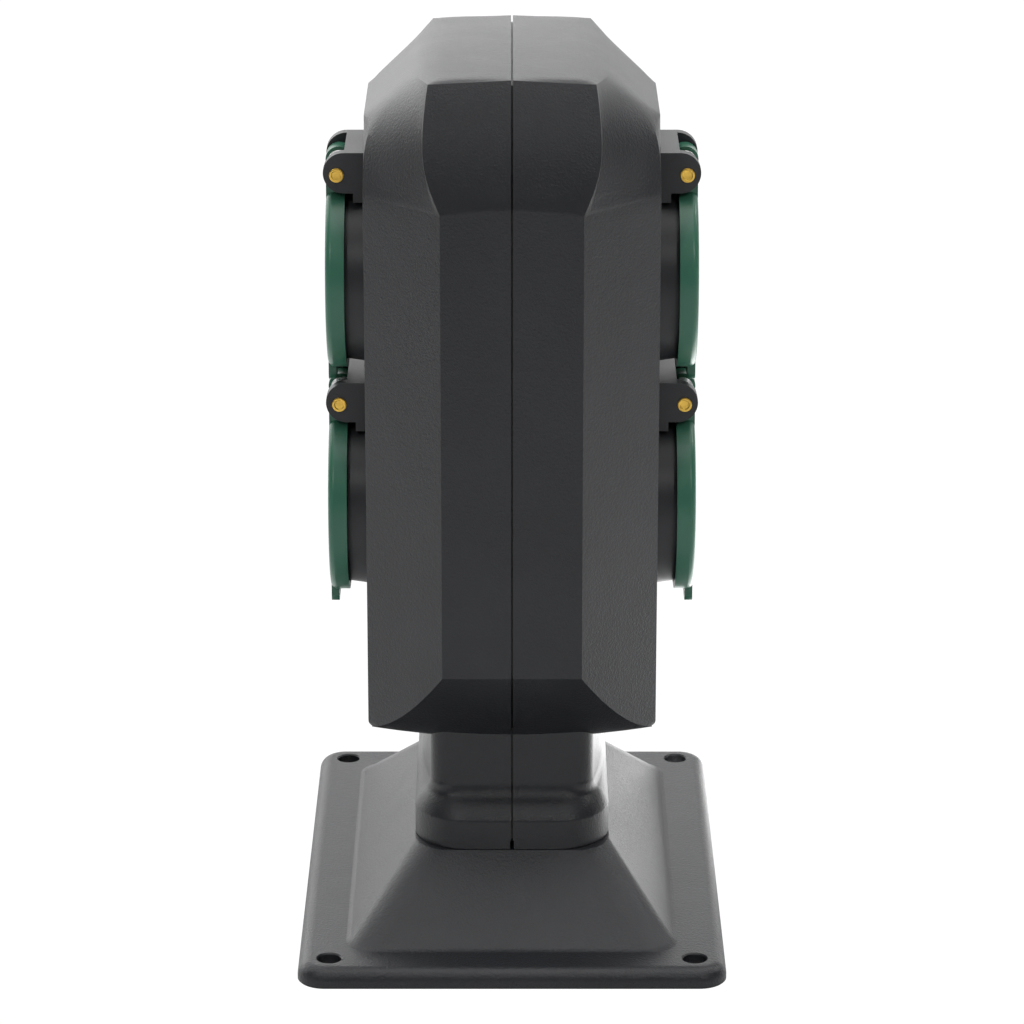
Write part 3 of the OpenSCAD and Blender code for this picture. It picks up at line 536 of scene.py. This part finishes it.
def shell(side_name, body, hollow, core, tongue):
    """One half: the cut outside, hollowed, with the CAD's lip, posts and bosses inside it."""
    side = SIDES[side_name]
    skin = copy_of(body)
    reach = 2 * crest_z
    low_x, high_x = (seam_half, reach) if side > 0 else (-reach, -seam_half)
    combine(skin, block("half", (low_x, -reach, -reach), (high_x, reach, reach)), "INTERSECT")
    combine(skin, copy_of(hollow), "DIFFERENCE")
    hole_x0, hole_x1 = side * (half_t - shell_wall - 1), side * (half_t + 1)
    cutters = [cylinder_along_x("hole", hole_r + slip, hole_x0, hole_x1, 0, z)
               for z in socket_z.values()]
    if side > 0:
        cutters += [cylinder_along_x("recess", recess_r + slip, half_t - 4, half_t + 1, y, z, 48)
                    for z in screw_heights() for y in (-shell_screw_y, shell_screw_y)]
    combine(skin, joined(cutters), "DIFFERENCE")
    inner = combine(cad_copy("shell_" + side_name), copy_of(core), "INTERSECT")
    if side < 0:
        combine(skin, copy_of(tongue), "UNION")
    combine(skin, inner, "UNION")
    # The seam opens a little at the foot of the collar, in front and behind
    notches = [block("notch", (-notch_half, y0, neck_z - 1), (notch_half, y1, neck_z + notch_h))
               for y0, y1 in ((-notch_y1, -notch_y0), (notch_y0, notch_y1))]
    combine(skin, joined(notches), "DIFFERENCE")
    skin.name = side_name + "_shell_skin"
    return tidied(skin)


def shells():
    """Both halves: the hollow, the core of CAD parts in it and the tongue that closes the seam."""
    body = column_outside()
    above = neck_z + 0.02
    core_wall = skin_t - overlap
    hollow = combine(column_inside(body, skin_t), neck_outside(skin_t, neck_z - 1), "UNION")
    core = combine(column_inside(body, core_wall), neck_outside(core_wall, above), "UNION")
    tongue = combine(column_inside(body, groove_depth), neck_outside(groove_depth, above), "UNION")
    strip = block("strip", (-1, -half_l, 0), (seam_half - 0.03, half_l, 2 * crest_z))
    combine(combine(tongue, copy_of(hollow), "DIFFERENCE"), strip, "INTERSECT")
    rounded(body, edge_r, 4)
    combine(body, rounded(neck_outside(), 0.35, 2, 25), "UNION")
    pieces = {side_name: shell(side_name, body, hollow, core, tongue) for side_name in SIDES}
    for spare in (body, hollow, core, tongue):
        bpy.data.objects.remove(spare)
    return pieces


# Foot
plate_t = 5
plate_r = 7
plate_edge = 3.5
plate_chamfer = 0.3
plate_steps = 10
pyramid_w = 83
pyramid_l = 129
pyramid_r = 7
pyramid_top_r = 9.5
pyramid_fillet = 0.8
foot_skin = 2
hole_x = 46
hole_y = 68.5
foot_hole_r = 3
foot_hole_chamfer = 0.35


def foot_outside():
    rings = [round_rect(plate_w - 2 * plate_chamfer, plate_l - 2 * plate_chamfer,
                        plate_r - plate_chamfer, 0),
             round_rect(plate_w, plate_l, plate_r, plate_chamfer)]
    for i in range(plate_steps + 1):
        a = math.pi / 2 * i / plate_steps
        inset = plate_edge * (1 - math.cos(a))
        rings.append(round_rect(plate_w - 2 * inset, plate_l - 2 * inset, plate_r - inset,
                                plate_t - plate_edge + plate_edge * math.sin(a)))
    rise = neck_z - plate_t
    for lift in (0, 0.004, 0.01, 0.02, 0.04, 0.3, 0.6, 0.93, 0.995):
        # Near the plate the slope runs out in a fillet
        spread = pyramid_fillet * max(0, 1 - lift / 0.04) ** 2
        width = pyramid_w + (collar_w - pyramid_w) * lift + 2 * spread
        length = pyramid_l + (collar_l - pyramid_l) * lift + 2 * spread
        radius = pyramid_r + (pyramid_top_r - pyramid_r) * lift + spread
        rings.append(round_rect(width, length, radius, plate_t + rise * lift))
    rings.append(round_rect(collar_w - 0.4, collar_l - 0.4, pyramid_top_r, neck_z - 0.02))
    return loft("foot_outside", rings)


def foot_hole(x, y):
    profile = [(foot_hole_r, -1), (foot_hole_r, plate_t - foot_hole_chamfer),
               (foot_hole_r + foot_hole_chamfer + 0.5, plate_t + 0.5)]
    piece = lathe("hole", profile)
    piece.data.transform(Matrix.Translation(Vector((x, y, 0)) * MM))
    return piece


def foot():
    """The outside of the foot, hollowed round the CAD's inside, with the CAD's rim on its roof."""
    outside = foot_outside()
    base = pyramid_w - 2 * foot_skin, pyramid_l - 2 * foot_skin, pyramid_r - 1
    roof = collar_w - 4 * foot_skin, collar_l - 4 * foot_skin, collar_r - 3
    core = loft("core", [round_rect(*base, -1), round_rect(*base, plate_t - 1),
                         round_rect(*roof, neck_z - 1.5)])
    combine(core, cad_copy("foot"), "DIFFERENCE")
    combine(outside, core, "DIFFERENCE")
    holes = [foot_hole(sx * hole_x, sy * hole_y) for sx in (-1, 1) for sy in (-1, 1)]
    combine(outside, joined(holes), "DIFFERENCE")
    slab = block("slab", (-40, -60, neck_z - 2), (40, 60, neck_z + 10))
    combine(outside, combine(cad_copy("foot"), slab, "INTERSECT"), "UNION")
    outside.name = "foot_skin"
    return outside


# Hinge pins and springs
pin_r = 1.5
pin_head_r = 1.85
pin_head_t = 0.4
pin_dish_r = 1.15
wire_r = 0.4
coil_r = 2.35
coil_turns = 4.25
coil_pitch = 1.3
coil_steps = 28
leg_steps = 5
wire_sides = 14
bracket_half = 12.75
bracket_t = 3.1
web_top = hinge_rise - 3.4


def at_socket(piece, side, z):
    """Places a piece that was drawn for a right socket at height 0."""
    turn = Matrix.Rotation(0 if side > 0 else math.pi, 4, "Z")
    piece.data.transform(Matrix.Translation(Vector((0, 0, z)) * MM) @ turn)
    return piece


def hooded_frame(place_name, side, z):
    """The socket frame with a closed hood over the hinge, between the two ears."""
    piece = cad_copy("frame_" + place_name)
    hood = block("hood", (half_t + hood_start, -hood_half, bracket_top - hood_t),
                 (half_t + hood_end, hood_half, bracket_top))
    piece = tidied(combine(piece, at_socket(hood, side, z), "UNION"))
    piece.name = "hooded_frame_" + place_name
    return piece


def hinge_pin(name):
    """A turned pin with a dished head on either end."""
    end = bracket_half + pin_head_t
    half = [(0, end - 0.16), (pin_dish_r - 0.1, end - 0.16), (pin_dish_r, end - 0.12),
            (pin_dish_r + 0.12, end - 0.02), (pin_dish_r + 0.3, end), (pin_head_r - 0.18, end),
            (pin_head_r - 0.05, end - 0.06), (pin_head_r, end - 0.18),
            (pin_head_r, bracket_half + 0.02), (pin_head_r - 0.04, bracket_half),
            (pin_r, bracket_half)]
    profile = half + [(radius, -height) for radius, height in reversed(half)]
    piece = lathe(name, profile, 48)
    turn = Matrix.Rotation(math.pi / 2, 4, "X")
    piece.data.transform(Matrix.Translation(Vector((hinge_x, 0, hinge_rise)) * MM) @ turn)
    return piece


def lid_spring(name):
    """Torsion spring round the pin: a leg to the bracket, the turns and a leg to the lid."""
    length = coil_turns * coil_pitch
    centre = []
    back = hinge_x - half_t - bracket_t
    for i in range(leg_steps):
        centre.append((hinge_x - back * (1 - i / leg_steps), -length / 2, hinge_rise + coil_r))
    count = round(coil_turns * coil_steps)
    for i in range(count + 1):
        a = math.pi / 2 - 2 * math.pi * coil_turns * i / count
        centre.append((hinge_x + coil_r * math.cos(a), -length / 2 + length * i / count,
                       hinge_rise + coil_r * math.sin(a)))
    for i in range(1, leg_steps + 1):
        centre.append((hinge_x + coil_r, length / 2,
                       hinge_rise - (hinge_rise - web_top) * i / leg_steps))
    rings = []
    angles = [2 * math.pi * k / wire_sides for k in range(wire_sides)]
    section = [(wire_r * math.cos(a), wire_r * math.sin(a)) for a in angles]
    for i, point in enumerate(centre):
        ahead = Vector(centre[min(i + 1, len(centre) - 1)]) - Vector(centre[max(i - 1, 0)])
        ahead.normalize()
        # The wire's section is turned by the hinge axis, so that it doesn't twist from ring to ring
        across = Vector((0, 1, 0)) - ahead * ahead.y
        across.normalize()
        other = ahead.cross(across)
        point = Vector(point)
        rings.append([tuple(point + across * u + other * v) for u, v in section])
    return loft(name, rings)


# Materials
backdrop_light = 1.05


def new_material(name):
    material = bpy.data.materials.new(name)
    material.use_nodes = True
    tree = material.node_tree
    tree.nodes.clear()
    output = tree.nodes.new("ShaderNodeOutputMaterial")
    shader = tree.nodes.new("ShaderNodeBsdfPrincipled")
    tree.links.new(shader.outputs["BSDF"], output.inputs["Surface"])
    place = tree.nodes.new("ShaderNodeTexCoord")
    return material, tree, shader, place


def noise(tree, place, scale, detail, roughness=0.5, stretch=None):
    node = tree.nodes.new("ShaderNodeTexNoise")
    node.inputs["Scale"].default_value = scale
    node.inputs["Detail"].default_value = detail
    node.inputs["Roughness"].default_value = roughness
    source = place.outputs["Object"]
    if stretch:
        mapping = tree.nodes.new("ShaderNodeMapping")
        mapping.inputs["Scale"].default_value = stretch
        tree.links.new(source, mapping.inputs["Vector"])
        source = mapping.outputs["Vector"]
    tree.links.new(source, node.inputs["Vector"])
    return node


def ranged(tree, value, low, high, to_low, to_high, interpolation="LINEAR"):
    node = tree.nodes.new("ShaderNodeMapRange")
    node.interpolation_type = interpolation
    settings = {"From Min": low, "From Max": high, "To Min": to_low, "To Max": to_high}
    for key, number in settings.items():
        node.inputs[key].default_value = number
    tree.links.new(value, node.inputs["Value"])
    return node.outputs["Result"]


def bump(tree, height, distance, strength=1, below=None):
    node = tree.nodes.new("ShaderNodeBump")
    node.inputs["Distance"].default_value = distance * MM
    node.inputs["Strength"].default_value = strength
    tree.links.new(height, node.inputs["Height"])
    if below:
        tree.links.new(below, node.inputs["Normal"])
    return node.outputs["Normal"]


def to_camera(tree, shader, white, output):
    """Shows the camera plain white, while the shader lights everything else."""
    path = tree.nodes.new("ShaderNodeLightPath")
    mix = tree.nodes.new("ShaderNodeMixShader")
    tree.links.new(path.outputs["Is Camera Ray"], mix.inputs["Fac"])
    tree.links.new(shader, mix.inputs[1])
    tree.links.new(white, mix.inputs[2])
    tree.links.new(mix.outputs["Shader"], output)


def two_tone(tree, value, dark, light):
    ramp = tree.nodes.new("ShaderNodeValToRGB")
    ramp.color_ramp.elements[0].position = 0.3
    ramp.color_ramp.elements[0].color = (*dark, 1)
    ramp.color_ramp.elements[1].position = 0.7
    ramp.color_ramp.elements[1].color = (*light, 1)
    tree.links.new(value, ramp.inputs["Fac"])
    return ramp.outputs["Color"]


def moulded_plastic(name, colour, roughness, grain=0.045, grain_size=0.35, mottle=0.12, ior=1.45):
    """Moulded plastic: fine spark-eroded grain, faint flow marks and cloudy gloss."""
    material, tree, shader, place = new_material(name)
    clouds = noise(tree, place, 45, 4, 0.6)
    flow = noise(tree, place, 90, 3, 0.5, (1, 1, 0.18))
    grains = noise(tree, place, 1 / (grain_size * MM), 3, 0.65)
    pits = tree.nodes.new("ShaderNodeTexVoronoi")
    pits.inputs["Scale"].default_value = 0.6 / (grain_size * MM)
    tree.links.new(place.outputs["Object"], pits.inputs["Vector"])
    dark = [c * (1 - mottle) for c in colour]
    light = [c * (1 + mottle) for c in colour]
    tree.links.new(two_tone(tree, clouds.outputs["Fac"], dark, light), shader.inputs["Base Color"])
    tree.links.new(ranged(tree, flow.outputs["Fac"], 0.3, 0.7, roughness - 0.01, roughness + 0.012),
                   shader.inputs["Roughness"])
    rough = bump(tree, grains.outputs["Fac"], grain)
    normal = bump(tree, pits.outputs["Distance"], grain * 0.5, 0.6, rough)
    tree.links.new(normal, shader.inputs["Normal"])
    shader.inputs["IOR"].default_value = ior
    return material


def metal(name, colour, roughness, streaks=(60, 60, 900), tarnish=0.15):
    """Metal with drawn or turned marks and a cloudy tarnish."""
    material, tree, shader, place = new_material(name)
    marks = noise(tree, place, 1, 4, 0.6, streaks)
    clouds = noise(tree, place, 220, 4, 0.6)
    dark = [c * (1 - tarnish) for c in colour]
    tree.links.new(two_tone(tree, clouds.outputs["Fac"], dark, colour), shader.inputs["Base Color"])
    tree.links.new(ranged(tree, marks.outputs["Fac"], 0.3, 0.7, roughness * 0.75, roughness * 1.3),
                   shader.inputs["Roughness"])
    tree.links.new(bump(tree, marks.outputs["Fac"], 0.01), shader.inputs["Normal"])
    shader.inputs["Metallic"].default_value = 0.85
    return material


def math_node(tree, operation, *values):
    node = tree.nodes.new("ShaderNodeMath")
    node.operation = operation
    for socket, value in zip(node.inputs, values):
        if isinstance(value, (int, float)):
            socket.default_value = value
        else:
            tree.links.new(value, socket)
    return node.outputs["Value"]


def floor_paint(name):
    """A matt floor with painted shade in front and a painted glowing pool of light behind the foot,
    that the camera sees as the white of the backdrop.
    """
    material, tree, shader, place = new_material(name)
    split = tree.nodes.new("ShaderNodeSeparateXYZ")
    tree.links.new(place.outputs["Object"], split.inputs["Vector"])
    # Painted shade: the floor's colour is darker in front and lighter behind, so that the floor in
    # front bounces and shows less light
    reach = ranged(tree, split.outputs["Y"], -0.3, 0.15, 0, 1, "SMOOTHSTEP")
    painted_shade_tone = two_tone(tree, reach, (0.72, 0.72, 0.73), (0.95, 0.95, 0.95))
    tree.links.new(painted_shade_tone, shader.inputs["Base Color"])
    shader.inputs["Roughness"].default_value = 0.9
    shader.inputs["Specular IOR Level"].default_value = 0.1
    # Painted light: a glowing pool painted on the floor right behind the foot, brighter on the
    # right, in place of light falling there
    near = ranged(tree, split.outputs["Y"], -0.03, 0.09, 0, 1, "SMOOTHSTEP")
    far = ranged(tree, split.outputs["Y"], 0.16, 0.36, 1, 0, "SMOOTHSTEP")
    right = ranged(tree, split.outputs["X"], -0.03, 0.1, 0, 3.6, "SMOOTHSTEP")
    edge = ranged(tree, split.outputs["X"], 0.14, 0.3, 1, 0, "SMOOTHSTEP")
    painted_light_pool = math_node(tree, "MULTIPLY", math_node(tree, "MULTIPLY", near, far),
                     math_node(tree, "MULTIPLY", right, edge))
    shader.inputs["Emission Color"].default_value = (1, 1, 1, 1)
    tree.links.new(painted_light_pool, shader.inputs["Emission Strength"])
    white = tree.nodes.new("ShaderNodeEmission")
    white.inputs["Strength"].default_value = backdrop_light
    # Seen from below the floor is clear, so that the underside shows
    sides = tree.nodes.new("ShaderNodeNewGeometry")
    clear = tree.nodes.new("ShaderNodeBsdfTransparent")
    below = tree.nodes.new("ShaderNodeMixShader")
    tree.links.new(sides.outputs["Backfacing"], below.inputs["Fac"])
    to_camera(tree, shader.outputs["BSDF"], white.outputs["Emission"], below.inputs[1])
    tree.links.new(clear.outputs["BSDF"], below.inputs[2])
    tree.links.new(below.outputs["Shader"], tree.nodes["Material Output"].inputs["Surface"])
    return material


housing = moulded_plastic("anthracite_housing", (0.019, 0.02, 0.0225), 0.34, 0.1, 0.5)
foot_plastic = moulded_plastic("anthracite_foot", (0.0185, 0.0195, 0.0225), 0.36, 0.14, 0.55)
black_plastic = moulded_plastic("black_frame", (0.031, 0.032, 0.035), 0.42, 0.02, 0.3)
insert_plastic = moulded_plastic("black_insert", (0.02, 0.02, 0.022), 0.5, 0.012, 0.3)
cover_plastic = moulded_plastic("ivory_cover", (0.55, 0.52, 0.44), 0.45, 0.01, 0.3, 0.05)
lid_plastic = moulded_plastic("green_lid", (0.04, 0.15, 0.096), 0.33, 0.008, 0.3, 0.08)
shutter_plastic = moulded_plastic("red_shutter", (0.4, 0.05, 0.03), 0.4, 0.008, 0.3, 0.06)
terminal_plastic = moulded_plastic("pale_terminal", (0.7, 0.7, 0.66), 0.45, 0.01, 0.3, 0.04)
rubber = moulded_plastic("seal_rubber", (0.012, 0.012, 0.012), 0.7, 0.015, 0.25, 0.2, 1.5)
brass = metal("pin_brass", (1, 0.64, 0.12), 0.38, (900, 60, 900))
contact_metal = metal("contact_brass", (0.76, 0.55, 0.24), 0.3, (60, 900, 60))
bar_metal = metal("copper_bar", (0.72, 0.38, 0.22), 0.34, (900, 900, 60))
spring_metal = metal("spring_steel", (0.5, 0.5, 0.5), 0.3)
screw_metal = metal("zinc_screw", (0.62, 0.62, 0.6), 0.32, (700, 700, 700))

# Material, width of the edge rounding and start of the name of the CAD nodes that stay
KEPT = (
    (insert_plastic, 0.2, ("insert_left", "insert_right")),
    (cover_plastic, 0.15, "contact_cover_"),
    (contact_metal, 0.08, ("pin_contacts_", "earth_clip_")),
    (shutter_plastic, 0.15, "shutter_"),
    (rubber, 0.2, ("lid_seal_", "gland_seal")),
    (lid_plastic, 0.35, ("lid_left", "lid_right")),
    (screw_metal, 0.1, "insert_screws"),
    (screw_metal, 0.15, ("shell_screws", "foot_screws")),
    (screw_metal, 0.08, "terminal_screws"),
    (bar_metal, 0.1, ("live_bar", "neutral_bar", "earth_bar")),
    (terminal_plastic, 0.25, "terminal_block"),
    (black_plastic, 0.3, ("gland_body", "gland_nut", "gland_cap")),
)


def paint(piece, material):
    piece.data.materials.clear()
    piece.data.materials.append(material)


def dress(piece, material, width):
    """Gives a piece its material, with rounded edges and clean shading by modifiers."""
    paint(piece, material)
    weld = piece.modifiers.new("weld", "WELD")
    weld.merge_threshold = cad_merge * MM
    flat = piece.modifiers.new("flat", "DECIMATE")
    flat.decimate_type = "DISSOLVE"
    flat.angle_limit = math.radians(0.4)
    piece.modifiers.new("triangles", "TRIANGULATE")
    edges = piece.modifiers.new("edges", "BEVEL")
    edges.width = width * MM
    edges.segments = 3
    edges.limit_method = "ANGLE"
    edges.angle_limit = math.radians(30)
    edges.use_clamp_overlap = True
    normals = piece.modifiers.new("normals", "WEIGHTED_NORMAL")
    normals.keep_sharp = True


smooth_angle = 32
tiny_area = 1e-12


def smooth_within(mesh, degrees):
    """Shades each corner by the faces round it that turn less than the angle, by their area.

    The thin slivers that the cuts leave carry no weight this way.
    """
    mesh.shade_smooth()
    limit = math.cos(math.radians(degrees))
    faces = [(polygon.normal.copy(), polygon.area, tuple(polygon.vertices))
             for polygon in mesh.polygons]
    around = [[] for _ in mesh.vertices]
    for normal, area, corners in faces:
        for corner in corners:
            around[corner].append((normal, area))
    normals = []
    for own, _, corners in faces:
        for corner in corners:
            near = [normal * area for normal, area in around[corner] if normal.dot(own) > limit]
            normals.append(sum(near, own * tiny_area).normalized())
    mesh.normals_split_custom_set(normals)


def finish_piece(piece, material, body, slot, *nodes):
    """Material, smooth shading and body of a piece that stands for CAD nodes. The slot is not used.
    """
    paint(piece, material)
    smooth_within(piece.data, smooth_angle)
    if body:
        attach(piece, body)
    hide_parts(*nodes)


for material, width, start in KEPT:
    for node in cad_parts:
        if node.startswith(start):
            dress(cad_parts[node], material, width)

for side_name, piece in shells().items():
    finish_piece(piece, housing, "column", "housing_plastic", "shell_" + side_name)
finish_piece(foot(), foot_plastic, "column", "housing_plastic", "foot")

for side_name, side in SIDES.items():
    for level in LEVELS:
        place_name = side_name + "_" + level
        holder = hooded_frame(place_name, side, socket_z[level])
        dress(holder, black_plastic, 0.3)
        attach(holder, "column")
        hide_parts("frame_" + place_name)
        pin = at_socket(hinge_pin("turned_pin_" + place_name), side, socket_z[level])
        finish_piece(pin, brass, "column", "pin_brass", "hinge_pin_" + place_name)
        spring = at_socket(lid_spring("wound_spring_" + place_name), side, socket_z[level])
        finish_piece(spring, spring_metal, None, "spring_steel", "lid_spring_" + place_name)
        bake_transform(spring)


# Stage, lights and camera
def floor_disc(radius, height=-0.05, count=96):
    shares = (1, 0.6, 0.3, 0.1)
    angles = [2 * math.pi * k / count for k in range(count)]
    points = [Vector((radius * share * math.cos(a), radius * share * math.sin(a), height)) * MM
              for share in shares for a in angles]
    faces = walls(len(shares), count)
    faces.append(tuple(range(len(points) - count, len(points))))
    mesh = bpy.data.meshes.new("floor")
    mesh.from_pydata(points, [], faces)
    return link("floor", mesh)


floor = floor_disc(1600)
paint(floor, floor_paint("pale_floor"))


def area_light(name, place, aim, width, height, power):
    light = bpy.data.lights.new(name, "AREA")
    light.shape = "RECTANGLE"
    light.size = width
    light.size_y = height
    light.energy = power
    lamp = bpy.data.objects.new(name, light)
    lamp.location = place
    lamp.rotation_mode = "QUATERNION"
    lamp.rotation_quaternion = (Vector(aim) - Vector(place)).to_track_quat("-Z", "Y")
    bpy.context.scene.collection.objects.link(lamp)


middle = (0, 0, 0.11)
area_light("front_left_box", (-0.75, -1.5, 1.35), middle, 0.12, 0.12, 4.5)
area_light("front_right_box", (0.75, -1.5, 1.35), middle, 0.12, 0.12, 4.5)
area_light("left_box", (-1.2, 0.5, 1.15), middle, 0.3, 0.3, 2)
area_light("right_box", (1.2, 0.5, 1.15), middle, 0.3, 0.3, 5)
area_light("top_box", (0.1, 0.5, 1.5), middle, 1.2, 0.8, 2.5)


def studio_world():
    """Bright behind and above, dark behind the camera; white to the camera."""
    studio = bpy.data.worlds.new("studio")
    studio.use_nodes = True
    tree = studio.node_tree
    background = tree.nodes["Background"]
    direction = tree.nodes.new("ShaderNodeTexCoord")
    split = tree.nodes.new("ShaderNodeSeparateXYZ")
    tree.links.new(direction.outputs["Generated"], split.inputs["Vector"])
    x, y, z = (split.outputs[key] for key in "XYZ")
    back = ranged(tree, y, 0.08, 0.75, 0, 1, "SMOOTHSTEP")
    horizon = ranged(tree, z, -0.15, 0.25, 0.45, 1, "SMOOTHSTEP")
    tilt = math_node(tree, "MULTIPLY_ADD", z, -2.5, -0.35)
    side = math_node(tree, "MAXIMUM", math_node(tree, "MULTIPLY_ADD", x, tilt, 1), 0.1)
    behind = math_node(tree, "MULTIPLY", math_node(tree, "MULTIPLY", back, side), horizon)
    behind = math_node(tree, "MULTIPLY", behind, ranged(tree, z, 0.22, 0.6, 1, 0.3, "SMOOTHSTEP"))
    above = ranged(tree, z, 0.78, 1, 0, 1, "SMOOTHSTEP")
    dim = ranged(tree, z, 0.45, 0.95, 0.095, 0.22, "SMOOTHSTEP")
    light = math_node(tree, "MULTIPLY_ADD", behind, 2, dim)
    light = math_node(tree, "MULTIPLY_ADD", above, 2.3, light)
    tree.links.new(light, background.inputs["Strength"])
    background.inputs["Color"].default_value = (1, 1, 1, 1)
    white = tree.nodes.new("ShaderNodeBackground")
    white.inputs["Color"].default_value = (1, 1, 1, 1)
    white.inputs["Strength"].default_value = backdrop_light
    to_camera(tree, background.outputs["Background"], white.outputs["Background"],
              tree.nodes["World Output"].inputs["Surface"])
    return studio


bpy.context.scene.world = studio_world()
bpy.context.scene.view_settings.view_transform = "Standard"

camera_dip = 18.29
camera_data = bpy.data.cameras.new("camera")
camera_data.lens = 152.7
camera_data.sensor_width = 36
camera_data.clip_end = 50
camera = bpy.data.objects.new("camera", camera_data)
camera.location = (0, -1.072, 0.455)
camera.rotation_euler = (math.radians(90 - camera_dip), 0, 0)
bpy.context.scene.collection.objects.link(camera)
bpy.context.scene.camera = camera
